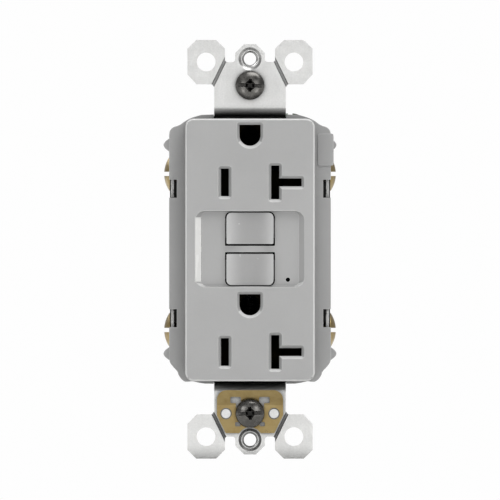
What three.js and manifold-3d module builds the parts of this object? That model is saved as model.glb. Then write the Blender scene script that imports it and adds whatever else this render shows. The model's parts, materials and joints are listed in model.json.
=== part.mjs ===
// Ground-fault receptacle: a 125 V duplex wall outlet with test and reset buttons.
// Millimetres. The face looks along -Y, +Z is up and +X is right as seen from the front.
// y = 0 is the rear plane of the strap, which lies on the wall; the middle of that plane is the origin.

import * as THREE from 'three';
import { mergeVertices } from 'three/addons/utils/BufferGeometryUtils.js';
import Module from 'manifold-3d';

const wasm = await Module();
wasm.setup();

// ---- driving dimensions ----

const GAP = 0.3;
const ROUND = 20;
const SMALL_ROUND = 12;
const ARC = 3;

// Fixing screws
const MOUNT_SCREW_Z = 41.67;
const PLATE_SCREW_Z = 48.4;
const MOUNT_HEAD_R = 3.7;
const MOUNT_SHANK_R = 1.75;
const MOUNT_SLOT_HALF = 3.5;

// Strap
const STRAP_FRONT = -1.2;
const LEG_HALF = 9.11;
const LEG_INNER = 33.9;
const LEG_OUTER = 35.1;
const RUN_FRONT = 2.9;
const RUN_REAR = 4.1;

// Face of the cover
const FACE_FRONT = -7.6;
const FACE_HALF = 16.45;
const FACE_TOP = 33.2;
const FACE_BOTTOM = -33.5;
const FACE_ROUND = 2.2;
const FACE_EDGE = 0.8;
const FACE_SKIN = 2.0;
const FACE_WALL = 1.55;
const FLANGE_FRONT = 0.8;
const FLANGE_INNER = 2.6;
const FLANGE_REAR = 4.4;

// Rear housing
const HOUSING_FRONT = 4.6;
const HOUSING_FLOOR = 24.2;
const HOUSING_REAR = 26.0;

// Outlets: height of each pair of blade slots and of each ground hole
const BLADE_Z = [17.0, -26.1];
const GROUND_Z = [28.97, -14.1];
const GROUND_HOLE_R = 2.67;
const BLADE_X = 6.38;

// Buttons
const WINDOW_HALF = 6.35;
const BUTTON_HALF = 5.97;
const TEST_Z = [1.35, 9.3];
const RESET_Z = [-9.1, -1.17];
const TEST_STEM_Z = 5.3;
const RESET_STEM_Z = -5.1;

// Side terminals
const TERMINAL_Y = 9.8;
const TERMINAL_Z = { line: 19.16, load: -20.5 };
const TERMINAL_HEAD_R = 4.3;
const TERMINAL_HEAD_BASE = 20.35;
const TERMINAL_SHANK_R = 2.0;
const WIRE_HOLE_X = 17.3;
const WIRE_HOLE_R = 1.25;

// Ground terminal
const GROUND_SCREW_X = 10.2;
const GROUND_SCREW_Y = 9.3;
const GROUND_SHANK_R = 1.6;

// Assembly screws
const ASSEMBLY_SCREWS = [[-15.5, 28.6], [15.5, 28.6], [-15.5, -29.4], [15.5, -29.4]];

// Inner plates
const CARRIER_FRONT = 8.2;
const CARRIER_REAR = 9.8;
const BOARD_FRONT = 20.4;
const BOARD_REAR = 22.0;
const PIPE_X = 12.9;
const FAULT_HOLE = [9.63, -7.72];
const CONTACT_RIVET = [10.2, -7.0];
const SOLENOID_Y = 16.0;
const ARM_PIVOT_Z = 6.0;

// Outlines of symmetric pieces are given as their right half, from top to bottom.
const FLANGE_OUTLINE = [
  [9.5, 34.25], [12.6, 34.1], [14.6, 33.5], [16.2, 32.75], [17.5, 31.8], [19.1, 31.2], [20.55, 29.8],
  [20.55, -27.9], [20.3, -28.8], [18.4, -31.1], [17.5, -32.9], [16.6, -33.6], [15.0, -33.5],
  [12.2, -34.15], [9.5, -34.15],
];
const CAVITY_OUTLINE = [
  [9.0, 32.6], [13.5, 32.3], [16.0, 30.9], [17.6, 30.1], [19.0, 28.8],
  [19.0, -27.6], [17.2, -30.4], [16.3, -32.0], [9.0, -32.5],
];
const STRAP_OUTLINE = [
  [1.5, 52.14], [3.8, 49.9], [3.8, 47.6], [6.35, 47.6], [6.35, 51.0], [8.61, 53.2], [13.67, 53.2],
  [15.93, 51.0], [15.93, 44.4], [13.57, 41.9], [9.66, 41.9], [LEG_HALF, 41.2], [LEG_HALF, LEG_INNER],
];
const RUN_OUTLINE = [
  [LEG_HALF, LEG_OUTER], [LEG_HALF, 32.0], [6.6, 30.9], [6.6, 26.0], [3.9, 24.6], [3.9, -9.9],
  [6.0, -11.0], [6.0, -17.2], [3.9, -18.6], [3.9, -31.4], [LEG_HALF, -32.2], [LEG_HALF, -LEG_OUTER],
];
const BOARD_OUTLINE = [
  [12.4, 31.5], [12.4, 25.6], [13.6, 25.6], [13.6, -26.0], [12.4, -26.0], [12.4, -31.5],
];
const CLIP_NOTCH_R = 3.2;
const CLIP_OUTLINE = [
  [6.3, -35.8], [7.8, -36.4], [8.4, -37.9], [8.4, -42.2], [6.2, -46.7],
];

// ---- geometry helpers ----

function polygon(points) {
  return new THREE.Shape(points.map(([a, b]) => new THREE.Vector2(a, b)));
}

function symmetric(rightHalf) {
  const left = rightHalf.map(([x, z]) => [-x, z]).reverse();
  return polygon([...rightHalf, ...left]);
}

function scaled(points, factor) {
  return points.map(([a, b]) => [a * factor, b * factor]);
}

function rounded(x0, z0, x1, z1, r) {
  const shape = new THREE.Shape();
  shape.moveTo(x0 + r, z0);
  shape.lineTo(x1 - r, z0);
  shape.absarc(x1 - r, z0 + r, r, -Math.PI / 2, 0);
  shape.lineTo(x1, z1 - r);
  shape.absarc(x1 - r, z1 - r, r, 0, Math.PI / 2);
  shape.lineTo(x0 + r, z1);
  shape.absarc(x0 + r, z1 - r, r, Math.PI / 2, Math.PI);
  shape.lineTo(x0, z0 + r);
  shape.absarc(x0 + r, z0 + r, r, Math.PI, Math.PI * 1.5);
  return shape;
}

// Flat-topped hole with a round lower half, as a ground pin's
function groundHole(z, grow) {
  const r = GROUND_HOLE_R + grow;
  const shape = new THREE.Shape();
  shape.moveTo(r, z + r);
  shape.lineTo(-r, z + r);
  shape.lineTo(-r, z);
  shape.absarc(0, z, r, Math.PI, Math.PI * 2);
  shape.lineTo(r, z + r);
  return shape;
}

function hotSlot(z, grow) {
  const half = 3.5 + grow;
  return rounded(-7.37 - grow, z - half, -5.39 + grow, z + half, 0.2);
}

// The neutral slot takes an upright blade or a level one, so it is a T on its side
function neutralSlot(z, grow) {
  const half = 4.27 + grow;
  return polygon([
    [5.39 - grow, z - half], [7.42 + grow, z - half], [7.42 + grow, z - 1 - grow],
    [13.1 + grow, z - 1 - grow], [13.1 + grow, z + 1 + grow], [7.42 + grow, z + 1 + grow],
    [7.42 + grow, z + half], [5.39 - grow, z + half],
  ]);
}

function extruded(shape, depth) {
  return new THREE.ExtrudeGeometry(shape, { depth, bevelEnabled: false, curveSegments: ARC });
}

// A prism whose outline is given in (x, z) and which runs from y0 to y1
function alongY(shape, y0, y1) {
  return extruded(shape, y1 - y0).rotateX(Math.PI / 2).translate(0, y1, 0);
}

function box(x0, x1, y0, y1, z0, z1) {
  const size = new THREE.BoxGeometry(Math.abs(x1 - x0), y1 - y0, z1 - z0);
  return size.translate((x0 + x1) / 2, (y0 + y1) / 2, (z0 + z1) / 2);
}

function rodY(x, z, r, y0, y1, sides = SMALL_ROUND) {
  return new THREE.CylinderGeometry(r, r, y1 - y0, sides).translate(x, (y0 + y1) / 2, z);
}

function rodX(y, z, r, x0, x1, sides = SMALL_ROUND) {
  const rod = new THREE.CylinderGeometry(r, r, Math.abs(x1 - x0), sides);
  return rod.rotateZ(Math.PI / 2).translate((x0 + x1) / 2, y, z);
}

function rodZ(x, y, r, z0, z1, sides = SMALL_ROUND) {
  const rod = new THREE.CylinderGeometry(r, r, z1 - z0, sides);
  return rod.rotateX(Math.PI / 2).translate(x, y, (z0 + z1) / 2);
}

// A round piece from a list of [radius, y] that starts and ends on the axis, the larger y last
function turned(profile, sides = ROUND) {
  return new THREE.LatheGeometry(profile.map(([r, y]) => new THREE.Vector2(r, y)), sides);
}

class Helix extends THREE.Curve {
  constructor(radius, length, turns) {
    super();
    this.radius = radius;
    this.length = length;
    this.turns = turns;
  }

  getPoint(t, target = new THREE.Vector3()) {
    const angle = t * this.turns * Math.PI * 2;
    return target.set(this.radius * Math.cos(angle), t * this.length, this.radius * Math.sin(angle));
  }
}

// A compression spring along +Y from the origin; its ends are the centres of the end wires
function spring(radius, wire, length, turns) {
  const section = new THREE.Shape();
  section.absarc(0, 0, wire, 0, Math.PI * 2);
  return new THREE.ExtrudeGeometry(section, {
    steps: turns * 9,
    curveSegments: 3,
    bevelEnabled: false,
    extrudePath: new Helix(radius, length, turns),
  });
}

// ---- joining and cutting ----

function toSolid(geometry) {
  const bare = geometry.index ? geometry.toNonIndexed() : geometry.clone();
  bare.deleteAttribute('normal');
  bare.deleteAttribute('uv');
  const merged = mergeVertices(bare, 1e-4);
  const index = merged.index.array;
  const triangles = [];
  for (let i = 0; i < index.length; i += 3) {
    const [a, b, c] = [index[i], index[i + 1], index[i + 2]];
    if (a !== b && b !== c && c !== a) {
      triangles.push(a, b, c);
    }
  }
  return new wasm.Manifold(new wasm.Mesh({
    numProp: 3,
    vertProperties: Float32Array.from(merged.attributes.position.array),
    triVerts: Uint32Array.from(triangles),
  }));
}

function toGeometry(solid) {
  const mesh = solid.getMesh();
  const geometry = new THREE.BufferGeometry();
  geometry.setAttribute('position', new THREE.BufferAttribute(mesh.vertProperties, 3));
  geometry.setIndex(new THREE.BufferAttribute(mesh.triVerts, 1));
  geometry.computeVertexNormals();
  return geometry;
}

function joined(...geometries) {
  return geometries.map(toSolid).reduce((all, next) => all.add(next));
}

function cut(solid, ...geometries) {
  return geometries.map(toSolid).reduce((left, next) => left.subtract(next), solid);
}

// ---- materials ----

function finish(color, roughness, metalness = 0) {
  return () => new THREE.MeshStandardMaterial({ color, roughness, metalness });
}

const greyPlastic = finish(0xb0b0ae, 0.5);
const housingPlastic = finish(0x8c8c8b, 0.55);
const innerPlastic = finish(0x2b2b2d, 0.5);
const lightGuide = finish(0xe6e6e4, 0.3);
const zincSteel = finish(0xc4c4c3, 0.4, 1);
const darkSteel = finish(0x4b4a48, 0.4, 1);
const brass = finish(0x9d895e, 0.35, 1);
const bronze = finish(0x9a6a3c, 0.35, 1);
const copper = finish(0xa5542e, 0.35, 1);
const fibre = finish(0x8a6f50, 0.8);
const board = finish(0x1f4d2c, 0.5);
const ferrite = finish(0x3a3a3c, 0.6);
const greenSteel = finish(0x31402f, 0.4, 1);
const chip = finish(0x151516, 0.4);
const blueDip = finish(0x264a7a, 0.4);

const outlet = new THREE.Group();

function add(name, geometry, material, parent = outlet) {
  const mesh = new THREE.Mesh(geometry, material());
  mesh.name = name;
  parent.add(mesh);
  return mesh;
}

// ---- cover ----

function faceBlock() {
  const shape = rounded(-FACE_HALF, FACE_BOTTOM, FACE_HALF, FACE_TOP, FACE_ROUND);
  const block = new THREE.ExtrudeGeometry(shape, {
    depth: FLANGE_INNER - FACE_FRONT - 2 * FACE_EDGE,
    bevelThickness: FACE_EDGE,
    bevelSize: FACE_EDGE,
    bevelOffset: -FACE_EDGE,
    bevelSegments: 2,
    curveSegments: ARC,
  });
  return block.rotateX(Math.PI / 2).translate(0, FLANGE_INNER - FACE_EDGE, 0);
}

// Notch in the flange's edge beside each terminal screw, where a bare wire goes in
function wireNotches() {
  const notches = [];
  for (const side of [-1, 1]) {
    for (const [z0, z1] of [[13.1, 17.7], [-19.8, -15.2]]) {
      notches.push(box(side * 18.6, side * 22, FLANGE_FRONT - 1, FLANGE_REAR + 1, z0, z1));
    }
  }
  return notches;
}

// Small snap lugs on the flange's long edges
function snapLugs() {
  const lugs = [];
  for (const side of [-1, 1]) {
    for (const z of [26.5, -26.5]) {
      const lug = polygon([
        [side * 20.4, z - 1.5], [side * 21.6, z - 0.7], [side * 22.0, z],
        [side * 21.6, z + 0.7], [side * 20.4, z + 1.5],
      ]);
      lugs.push(alongY(lug, 1.2, FLANGE_REAR));
    }
  }
  return lugs;
}

function addCover() {
  const inner = FACE_FRONT + FACE_SKIN;
  const sleeveEnd = 2.5;
  const recessDepth = 0.35;
  const panelDepth = 0.8;
  const flangeWall = alongY(symmetric(FLANGE_OUTLINE), FLANGE_FRONT, FLANGE_REAR);
  const flangeRoom = alongY(symmetric(CAVITY_OUTLINE), FLANGE_INNER, FLANGE_REAR + 1);
  const faceRoom = alongY(
    rounded(-FACE_HALF + FACE_WALL, FACE_BOTTOM + FACE_WALL, FACE_HALF - FACE_WALL, FACE_TOP - FACE_WALL, 1),
    inner, FLANGE_REAR + 1);
  let cover = joined(faceBlock(), flangeWall, ...snapLugs());
  cover = cut(cover, flangeRoom, faceRoom, ...wireNotches());
  for (const end of [-1, 1]) {
    const room = end > 0 ? [FACE_TOP + 0.1, 40] : [-40, FACE_BOTTOM - 0.1];
    const under = end > 0 ? [31, 40] : [-40, -31];
    cover = cut(cover, box(-9.6, 9.6, FLANGE_FRONT - 0.5, FLANGE_REAR + 1, ...room));
    cover = cut(cover, box(-9.6, 9.6, FLANGE_INNER, FLANGE_REAR + 1, ...under));
  }

  const sleeve = 0.95;
  const slots = [
    ...GROUND_Z.map((z) => (grow) => groundHole(z, grow)),
    ...BLADE_Z.map((z) => (grow) => hotSlot(z, grow)),
    ...BLADE_Z.map((z) => (grow) => neutralSlot(z, grow)),
  ];
  const sleeves = slots.map((slot) => toSolid(alongY(slot(sleeve), inner - 0.1, sleeveEnd)));
  cover = sleeves.reduce((all, next) => all.add(next), cover);
  for (const [x, z] of ASSEMBLY_SCREWS) {
    cover = cover.add(toSolid(rodY(x, z, 1.8, FLANGE_INNER - 0.8, 7.9)));
  }

  const panel = rounded(-13.97, -9.53, 13.85, 9.76, 2.2);
  cover = cut(cover, alongY(panel, FACE_FRONT - 1, FACE_FRONT + panelDepth));
  for (const slot of slots) {
    cover = cut(cover, alongY(slot(0.7), FACE_FRONT - 1, FACE_FRONT + recessDepth));
    cover = cut(cover, alongY(slot(0), FACE_FRONT - 1, sleeveEnd + 1));
  }
  for (const [z0, z1] of [[0.86, 9.76], [-9.53, -0.71]]) {
    cover = cut(cover, alongY(rounded(-WINDOW_HALF, z0, WINDOW_HALF, z1, 0.5), FACE_FRONT - 1, inner + 1));
  }
  cover = cut(cover, alongY(rounded(-14.27, -8.6, -12.07, 8.5, 0.7), FACE_FRONT - 1, inner + 1));
  cover = cut(cover, rodY(...FAULT_HOLE, 0.55, FACE_FRONT - 1, inner + 1));
  for (const [x, z] of ASSEMBLY_SCREWS) {
    cover = cut(cover, rodY(x, z, 1.1, 2.8, 9, 12));
  }
  add('front_cover', toGeometry(cover), greyPlastic);
}

// ---- buttons and light pipes ----

function addButton(name, [z0, z1], stemZ, stemEnd) {
  const front = FACE_FRONT + 0.1;
  const rear = -3.0;
  const lipY = [FACE_FRONT + FACE_SKIN + 0.4, FACE_FRONT + FACE_SKIN + 1.2];
  const body = joined(
    alongY(rounded(-BUTTON_HALF, z0, BUTTON_HALF, z1, 0.5), front, rear),
    box(-7.0, 7.0, ...lipY, z0 + 1.5, z1 - 1.5),
    rodY(0, stemZ, 1.2, rear - 0.1, stemEnd),
  );
  return add(name, toGeometry(body), greyPlastic);
}

// Shallow hollow across a button's front, made with a large drum whose axis is upright
function addDishedButton(name, zRange, stemZ, stemEnd, bore) {
  const mesh = addButton(name, zRange, stemZ, stemEnd);
  const drumR = 38;
  const depth = 0.45;
  const drum = rodZ(0, FACE_FRONT + 0.1 + depth - drumR, drumR, zRange[0] - 1, zRange[1] + 1, 192);
  let body = cut(toSolid(mesh.geometry), drum);
  if (bore) {
    body = cut(body, rodY(0, stemZ, bore, -2.2, stemEnd + 1, 12));
  }
  mesh.geometry = toGeometry(body);
}

function addLightPipes() {
  const status = joined(
    alongY(rounded(-13.97, -8.3, -12.37, 8.2, 0.5), FACE_FRONT + 0.8, -3.4),
    box(-14.5, -11.8, -5.2, -4.4, -5, 5),
    rodY(-PIPE_X, 0, 0.75, -3.6, 17.9, 12),
  );
  add('status_light_pipe', toGeometry(status), lightGuide);
  const [x, z] = FAULT_HOLE;
  const fault = joined(
    rodY(x, z, 0.9, -5.3, -3.7, 12),
    box(x - 0.7, PIPE_X + 0.7, -4.6, -3.7, z - 0.7, z + 0.7),
    rodY(PIPE_X, z, 0.7, -3.8, 17.9, 12),
  );
  add('fault_light_pipe', toGeometry(fault), lightGuide);
}

// ---- housing ----

function pocketSolids() {
  const blocks = [];
  for (const side of [-1, 1]) {
    for (const z of Object.values(TERMINAL_Z)) {
      blocks.push(box(side * 14.4, side * 20.3, HOUSING_FRONT, 24.5, z - 7.4, z + 7.4));
    }
  }
  return blocks;
}

function pocketCuts() {
  const cuts = [];
  for (const side of [-1, 1]) {
    for (const z of Object.values(TERMINAL_Z)) {
      cuts.push(box(side * 15.6, side * 23, HOUSING_FRONT - 1, 15.8, z - 6.3, z + 6.3));
      cuts.push(box(side * 14.3, side * 15.7, HOUSING_FRONT - 1, 12.2, z - 2.3, z + 2.3));
      cuts.push(box(side * 14.3, side * 15.7, HOUSING_FRONT - 1, 13.7, z + 2.7, z + 5.5));
      for (const dz of [-3.6, 3.6]) {
        cuts.push(rodY(side * WIRE_HOLE_X, z + dz, WIRE_HOLE_R, 15, HOUSING_REAR + 1, 12));
      }
    }
  }
  return cuts;
}

function addHousing() {
  const outline = symmetric(scaled(FLANGE_OUTLINE, 0.99));
  let housing = cut(
    joined(alongY(outline, HOUSING_FRONT, HOUSING_REAR), box(20, 21.24, 5.5, 18, 21.3, 29.3)),
    alongY(symmetric(CAVITY_OUTLINE), HOUSING_FRONT - 1, HOUSING_FLOOR),
  );
  const bosses = ASSEMBLY_SCREWS.map(([x, z]) => rodY(x, z, 2.5, 8.2, HOUSING_FLOOR + 0.5));
  const posts = [[-9, 27], [9, 23], [-9, -27], [9, -27]];
  const feet = posts.map(([x, z]) => rodY(x, z, 1.5, BOARD_REAR + GAP, HOUSING_FLOOR + 0.5, 12));
  const groundBlock = box(6.2, 13.9, HOUSING_FRONT, 15.6, 27.8, 33.2);
  housing = housing.add(joined(...pocketSolids(), ...bosses, ...feet, groundBlock));
  housing = cut(housing, ...pocketCuts());
  housing = cut(
    housing,
    box(7.1, 12.95, HOUSING_FRONT - 1, 14.2, 28.6, 31.5),
    box(6.8, 13.7, HOUSING_FRONT - 1, 14.2, 31.3, 36),
    rodZ(GROUND_SCREW_X, GROUND_SCREW_Y, 1.9, 26, 29),
  );
  for (const [x, z] of ASSEMBLY_SCREWS) {
    housing = cut(
      housing,
      rodY(x, z, 2.1, HOUSING_FRONT - 1, 8.2),
      rodY(x, z, 1.7, 8, HOUSING_REAR + 1, 12),
      rodY(x, z, 2.45, HOUSING_FLOOR, HOUSING_REAR + 1),
    );
  }
  add('rear_housing', toGeometry(housing), housingPlastic);
}

// ---- strap, clip and the screws that hold the outlet ----

// Score line that lets an ear break off; the groove is cut into both faces of the sheet
function scoreGroove(side, end) {
  const band = [[5.75, 47.75], [6.3, 48.35], [9.85, 41.95], [9.0, 41.0]];
  const shape = polygon(band.map(([x, z]) => [side * x, end * z]));
  return [alongY(shape, STRAP_FRONT - 1, STRAP_FRONT + 0.5), alongY(shape, -0.35, 1)];
}

function addStrap() {
  const plates = [1, -1].map((end) => {
    const outline = symmetric(STRAP_OUTLINE.map(([x, z]) => [x, end * z]));
    return alongY(outline, STRAP_FRONT, 0);
  });
  const legs = [[LEG_INNER, LEG_OUTER], [-LEG_OUTER, -LEG_INNER]].map(
    ([z0, z1]) => box(-LEG_HALF, LEG_HALF, STRAP_FRONT, RUN_REAR, z0, z1));
  const collars = [PLATE_SCREW_Z, -PLATE_SCREW_Z].map((z) => rodY(0, z, 2.4, -0.2, 1.4));
  const groundTab = [
    box(6.0, 12.7, RUN_FRONT, RUN_REAR, 27.9, 30.1),
    box(7.4, 12.7, RUN_FRONT, 13.6, 28.9, 30.1),
  ];
  const clipBosses = [-6.1, 6.1].map((x) => rodY(x, -41.75, 1.16, -2.1, STRAP_FRONT + 0.1));
  const run = alongY(symmetric(RUN_OUTLINE), RUN_FRONT, RUN_REAR);
  let strap = joined(...plates, ...legs, run, ...collars, ...groundTab, ...clipBosses);
  for (const end of [-1, 1]) {
    const slotZ = end * MOUNT_SCREW_Z;
    const slot = rounded(-MOUNT_SLOT_HALF, slotZ - 2.1, MOUNT_SLOT_HALF, slotZ + 2.1, 2.0);
    strap = cut(
      strap,
      alongY(slot, STRAP_FRONT - 1, 1),
      rodY(0, end * PLATE_SCREW_Z, 1.6, STRAP_FRONT - 1, 2),
      rodY(0, end * PLATE_SCREW_Z, 2.8, STRAP_FRONT - 1, STRAP_FRONT + 0.3),
    );
    for (const side of [-1, 1]) {
      strap = cut(strap, rodY(side * 11.15, end * 47.6, 2.35, STRAP_FRONT - 1, 1));
      strap = cut(strap, ...scoreGroove(side, end));
    }
  }
  strap = cut(
    strap,
    ...GROUND_Z.map((z) => rodY(0, z, 3.35, RUN_FRONT - 1, RUN_REAR + 1)),
    rodY(0, TEST_STEM_Z, 1.7, RUN_FRONT - 1, RUN_REAR + 1),
    rodY(0, RESET_STEM_Z, 1.7, RUN_FRONT - 1, RUN_REAR + 1),
    rodZ(GROUND_SCREW_X, GROUND_SCREW_Y, GROUND_SHANK_R + GAP, 28, 31),
  );
  add('mounting_strap', toGeometry(strap), zincSteel);
}

function addClip() {
  const plate = alongY(symmetric(CLIP_OUTLINE), -2.0, -1.5);
  const openings = [
    alongY(rounded(-3.5, -43.77, 3.5, -39.57, 2.0), -3, 0),
    rodY(-6.1, -41.75, 1.46, -3, 0),
    rodY(6.1, -41.75, 1.46, -3, 0),
    rodY(0, -PLATE_SCREW_Z, CLIP_NOTCH_R, -3, 0),
  ];
  for (const side of [-1, 1]) {
    openings.push(box(side * 2.3, side * 5.0, -3, 0, -39.1, -37.5));
    openings.push(box(side * 4.1, side * 5.0, -3, 0, -40.4, -39));
    openings.push(box(side * 2.4, side * 3.8, -3, 0, -45.0, -44.2));
  }
  add('self_grounding_clip', toGeometry(cut(joined(plate), ...openings)), brass);
}

function addMountingScrew(name, z, seat) {
  const headHeight = 2.1;
  const length = 24;
  const profile = [
    [0, -headHeight], [1.4, -headHeight + 0.12], [2.7, -headHeight + 0.5], [3.4, -headHeight + 1.0],
    [MOUNT_HEAD_R, -0.45], [MOUNT_HEAD_R, 0], [MOUNT_SHANK_R, 0], [MOUNT_SHANK_R, length - 1.2],
    [0.9, length], [0, length],
  ];
  const slot = box(-5, 5, -headHeight - 1, -headHeight + 1.0, -0.52, 0.52);
  const cross = [0, Math.PI / 2].map(
    (turn) => box(-1.84, 1.84, -headHeight - 1, -headHeight + 1.6, -0.5, 0.5).rotateY(turn));
  const mesh = add(name, toGeometry(cut(joined(turned(profile)), slot, ...cross)), darkSteel);
  mesh.position.set(0, seat, z);
}

function addRetainer(name, z) {
  const square = box(-4.2, 4.2, GAP, 1.1, z - 4.2, z + 4.2);
  const washer = cut(joined(square), rodY(0, z, MOUNT_SHANK_R + GAP, -1, 3));
  add(name, toGeometry(washer), fibre);
}

// ---- terminals ----

function terminalScrew() {
  const apex = -1.46;
  const length = 4.65;
  const profile = [
    [0, apex], [1.5, apex + 0.15], [2.8, apex + 0.52], [3.7, apex + 0.95], [TERMINAL_HEAD_R, -0.15],
    [TERMINAL_HEAD_R, 0], [TERMINAL_SHANK_R, 0], [TERMINAL_SHANK_R, length - 0.6], [1.4, length], [0, length],
  ];
  const slot = box(-0.53, 0.53, apex - 1, apex + 1.3, -6, 6);
  return toGeometry(cut(joined(turned(profile)), slot));
}

function addTerminal(row, pole, side) {
  const z = TERMINAL_Z[row];
  const name = `${row}_${pole}`;
  const plate = cut(
    joined(
      box(side * 15.9, side * 16.9, 5.2, 15.4, z - 5.9, z + 5.9),
      box(side * 12.6, side * 16.0, 12.6, 13.4, z + 3, z + 5.2),
      box(side * 12.6, side * 13.4, 12.6, 20.1, z + 3, z + 5.2),
    ),
    rodX(TERMINAL_Y, z, TERMINAL_SHANK_R + GAP, side * 15, side * 18),
  );
  add(`${name}_terminal`, toGeometry(plate), brass);
  const clamp = cut(
    joined(box(side * 19.3, side * 20.05, 5.3, 14.3, z - 6.0, z + 6.0)),
    rodX(TERMINAL_Y, z, TERMINAL_SHANK_R + GAP, side * 18, side * 21),
  );
  add(`${name}_pressure_plate`, toGeometry(clamp), zincSteel);
  const screw = add(`${name}_screw`, terminalScrew(), brass);
  screw.position.set(side * TERMINAL_HEAD_BASE, TERMINAL_Y, z);
  screw.rotation.set(0, Math.PI / 2, side * Math.PI / 2, 'ZYX');
}

function addGroundTerminal() {
  const apex = -1.7;
  const length = 4.0;
  const profile = [
    [0, apex], [1.6, apex + 0.12], [2.6, apex + 0.45], [3.1, apex + 0.9], [3.1, 0],
    [GROUND_SHANK_R, 0], [GROUND_SHANK_R, length - 0.5], [1.1, length], [0, length],
  ];
  const slot = box(-0.58, 0.58, apex - 1, apex + 1.0, -5, 5);
  const screw = add('ground_screw', toGeometry(cut(joined(turned(profile)), slot)), greenSteel);
  screw.position.set(GROUND_SCREW_X, GROUND_SCREW_Y, 32.9);
  screw.rotation.set(-Math.PI / 2, 0, 0);
  const x = GROUND_SCREW_X;
  const clamp = cut(
    joined(box(x - 2.5, x + 2.5, 5.3, 13.3, 31.7, 32.5)),
    rodZ(x, GROUND_SCREW_Y, GROUND_SHANK_R + GAP, 31, 34),
  );
  add('ground_pressure_plate', toGeometry(clamp), zincSteel);
}

function addAssemblyScrews() {
  const profile = [
    [0, 3.4], [1.0, 4.2], [1.0, 9], [1.4, 9.2], [1.4, 24.5], [2.1, 24.5], [2.1, 25.5], [0, 25.8],
  ];
  ASSEMBLY_SCREWS.forEach(([x, z], i) => {
    const screw = cut(joined(turned(profile, SMALL_ROUND)), box(-3, 3, 25.0, 27, -0.35, 0.35));
    const mesh = add(`assembly_screw_${i + 1}`, toGeometry(screw), zincSteel);
    mesh.position.set(x, 0, z);
  });
}

// ---- contacts ----

// A cup of two leaves that grips an upright blade
function bladeCup(side, z) {
  const [near, far] = [BLADE_X - 1.6, BLADE_X + 1.6];
  return [
    box(side * (far - 0.5), side * far, 7.2, 11.3, z - 3, z + 3),
    box(side * near, side * (near + 0.5), 7.6, 11.3, z - 3, z + 3),
    box(side * near, side * far, 10.8, 11.3, z - 3, z + 3),
    box(side * (far - 0.1), side * 9.0, 7.2, 7.9, z - 3, z + 3),
  ];
}

function addHotStrip() {
  const [x, z] = CONTACT_RIVET;
  const strip = joined(
    box(-8.6, -11.6, 7.2, 7.9, -29.2, 20.2),
    ...BLADE_Z.flatMap((bladeZ) => bladeCup(-1, bladeZ)),
    rodY(-x, z, 1.2, 7.5, CARRIER_REAR + 0.1, 12),
  );
  add('hot_contact_strip', toGeometry(strip), brass);
}

function addNeutralStrip() {
  const [x, z] = CONTACT_RIVET;
  const pieces = [rodY(x, z, 1.2, 7.5, CARRIER_REAR + 0.1, 12)];
  const levelSlot = 1.4;
  for (const bladeZ of BLADE_Z) {
    pieces.push(...bladeCup(1, bladeZ));
    pieces.push(box(8.6, 13.2, 7.2, 11.3, bladeZ - levelSlot - 0.5, bladeZ - levelSlot));
    pieces.push(box(8.6, 13.2, 7.2, 11.3, bladeZ + levelSlot, bladeZ + levelSlot + 0.5));
    pieces.push(box(8.6, 13.2, 10.8, 11.3, bladeZ - levelSlot - 0.5, bladeZ + levelSlot + 0.5));
  }
  const stretches = [[18.4, 20.2], [-24.7, 15.6], [-29.2, -27.5]];
  for (const [z0, z1] of stretches) {
    pieces.push(box(8.6, 11.6, 7.2, 7.9, z0, z1));
  }
  const levelRoom = BLADE_Z.map((bladeZ) => box(
    7.4, 14, 6, 10.8, bladeZ - levelSlot, bladeZ + levelSlot));
  add('neutral_contact_strip', toGeometry(cut(joined(...pieces), ...levelRoom)), brass);
}

function addGroundContact(name, z) {
  const grip = joined(rodY(0, z, 2.95, 4.4, 12.6, 20), rodY(0, z, 3.4, 4.4, 5.0, 20));
  const bore = rodY(0, z, 2.5, 4, 13, 20);
  const split = box(-0.4, 0.4, 5.3, 13, z - 4, z + 4);
  add(name, toGeometry(cut(grip, bore, split)), brass);
}

function addCarrier() {
  const plate = alongY(rounded(-13.5, -31.4, 13.5, 31.4, 1), CARRIER_FRONT, CARRIER_REAR);
  const legs = [[12.4, 9], [-12.4, 9], [12.4, -11.5], [-12.4, -11.5]];
  const posts = legs.map(([x, z]) => rodY(x, z, 0.8, CARRIER_REAR - 0.1, BOARD_FRONT - GAP, 12));
  const cuts = [box(5.9, 15, 7, 11, 27.4, 33)];
  for (const z of BLADE_Z) {
    cuts.push(box(-8.5, -4.4, 7, 11, z - 3.3, z + 3.3));
    cuts.push(box(4.4, 8.5, 7, 11, z - 3.3, z + 3.3));
    cuts.push(box(8.2, 15, 7, 11, z - 2.3, z + 2.3));
  }
  for (const z of GROUND_Z) {
    cuts.push(rodY(0, z, 3.3, 7, 11));
  }
  cuts.push(rodY(0, TEST_STEM_Z, 1.6, 7, 11), rodY(0, RESET_STEM_Z, 1.6, 7, 11));
  cuts.push(...ASSEMBLY_SCREWS.map(([x, z]) => rodY(x, z, 2.8, 7, 11)));
  for (const side of [-1, 1]) {
    cuts.push(rodY(side * CONTACT_RIVET[0], CONTACT_RIVET[1], 1.55, 7, 11, 12));
  }
  cuts.push(box(-15, -11.8, 7, 11, -1.1, 1.1));
  cuts.push(box(11.9, 15, 7, 11, FAULT_HOLE[1] - 1.1, FAULT_HOLE[1] + 1.1));
  add('contact_carrier', toGeometry(cut(joined(plate, ...posts), ...cuts)), innerPlastic);
}

function addContactArm(name, side) {
  const arm = joined(
    box(side * 8.7, side * 11.3, 12.3, 12.7, -8.6, ARM_PIVOT_Z + 0.6),
    rodY(side * CONTACT_RIVET[0], CONTACT_RIVET[1], 1.2, 11.8, 12.4, 12),
  );
  add(name, toGeometry(arm), bronze);
}

function addTestLeaf() {
  add('test_contact_leaf', box(-1.5, 1.5, 12.3, 12.6, 2.8, 11.0), bronze);
}

// ---- circuit board and what it carries ----

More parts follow.
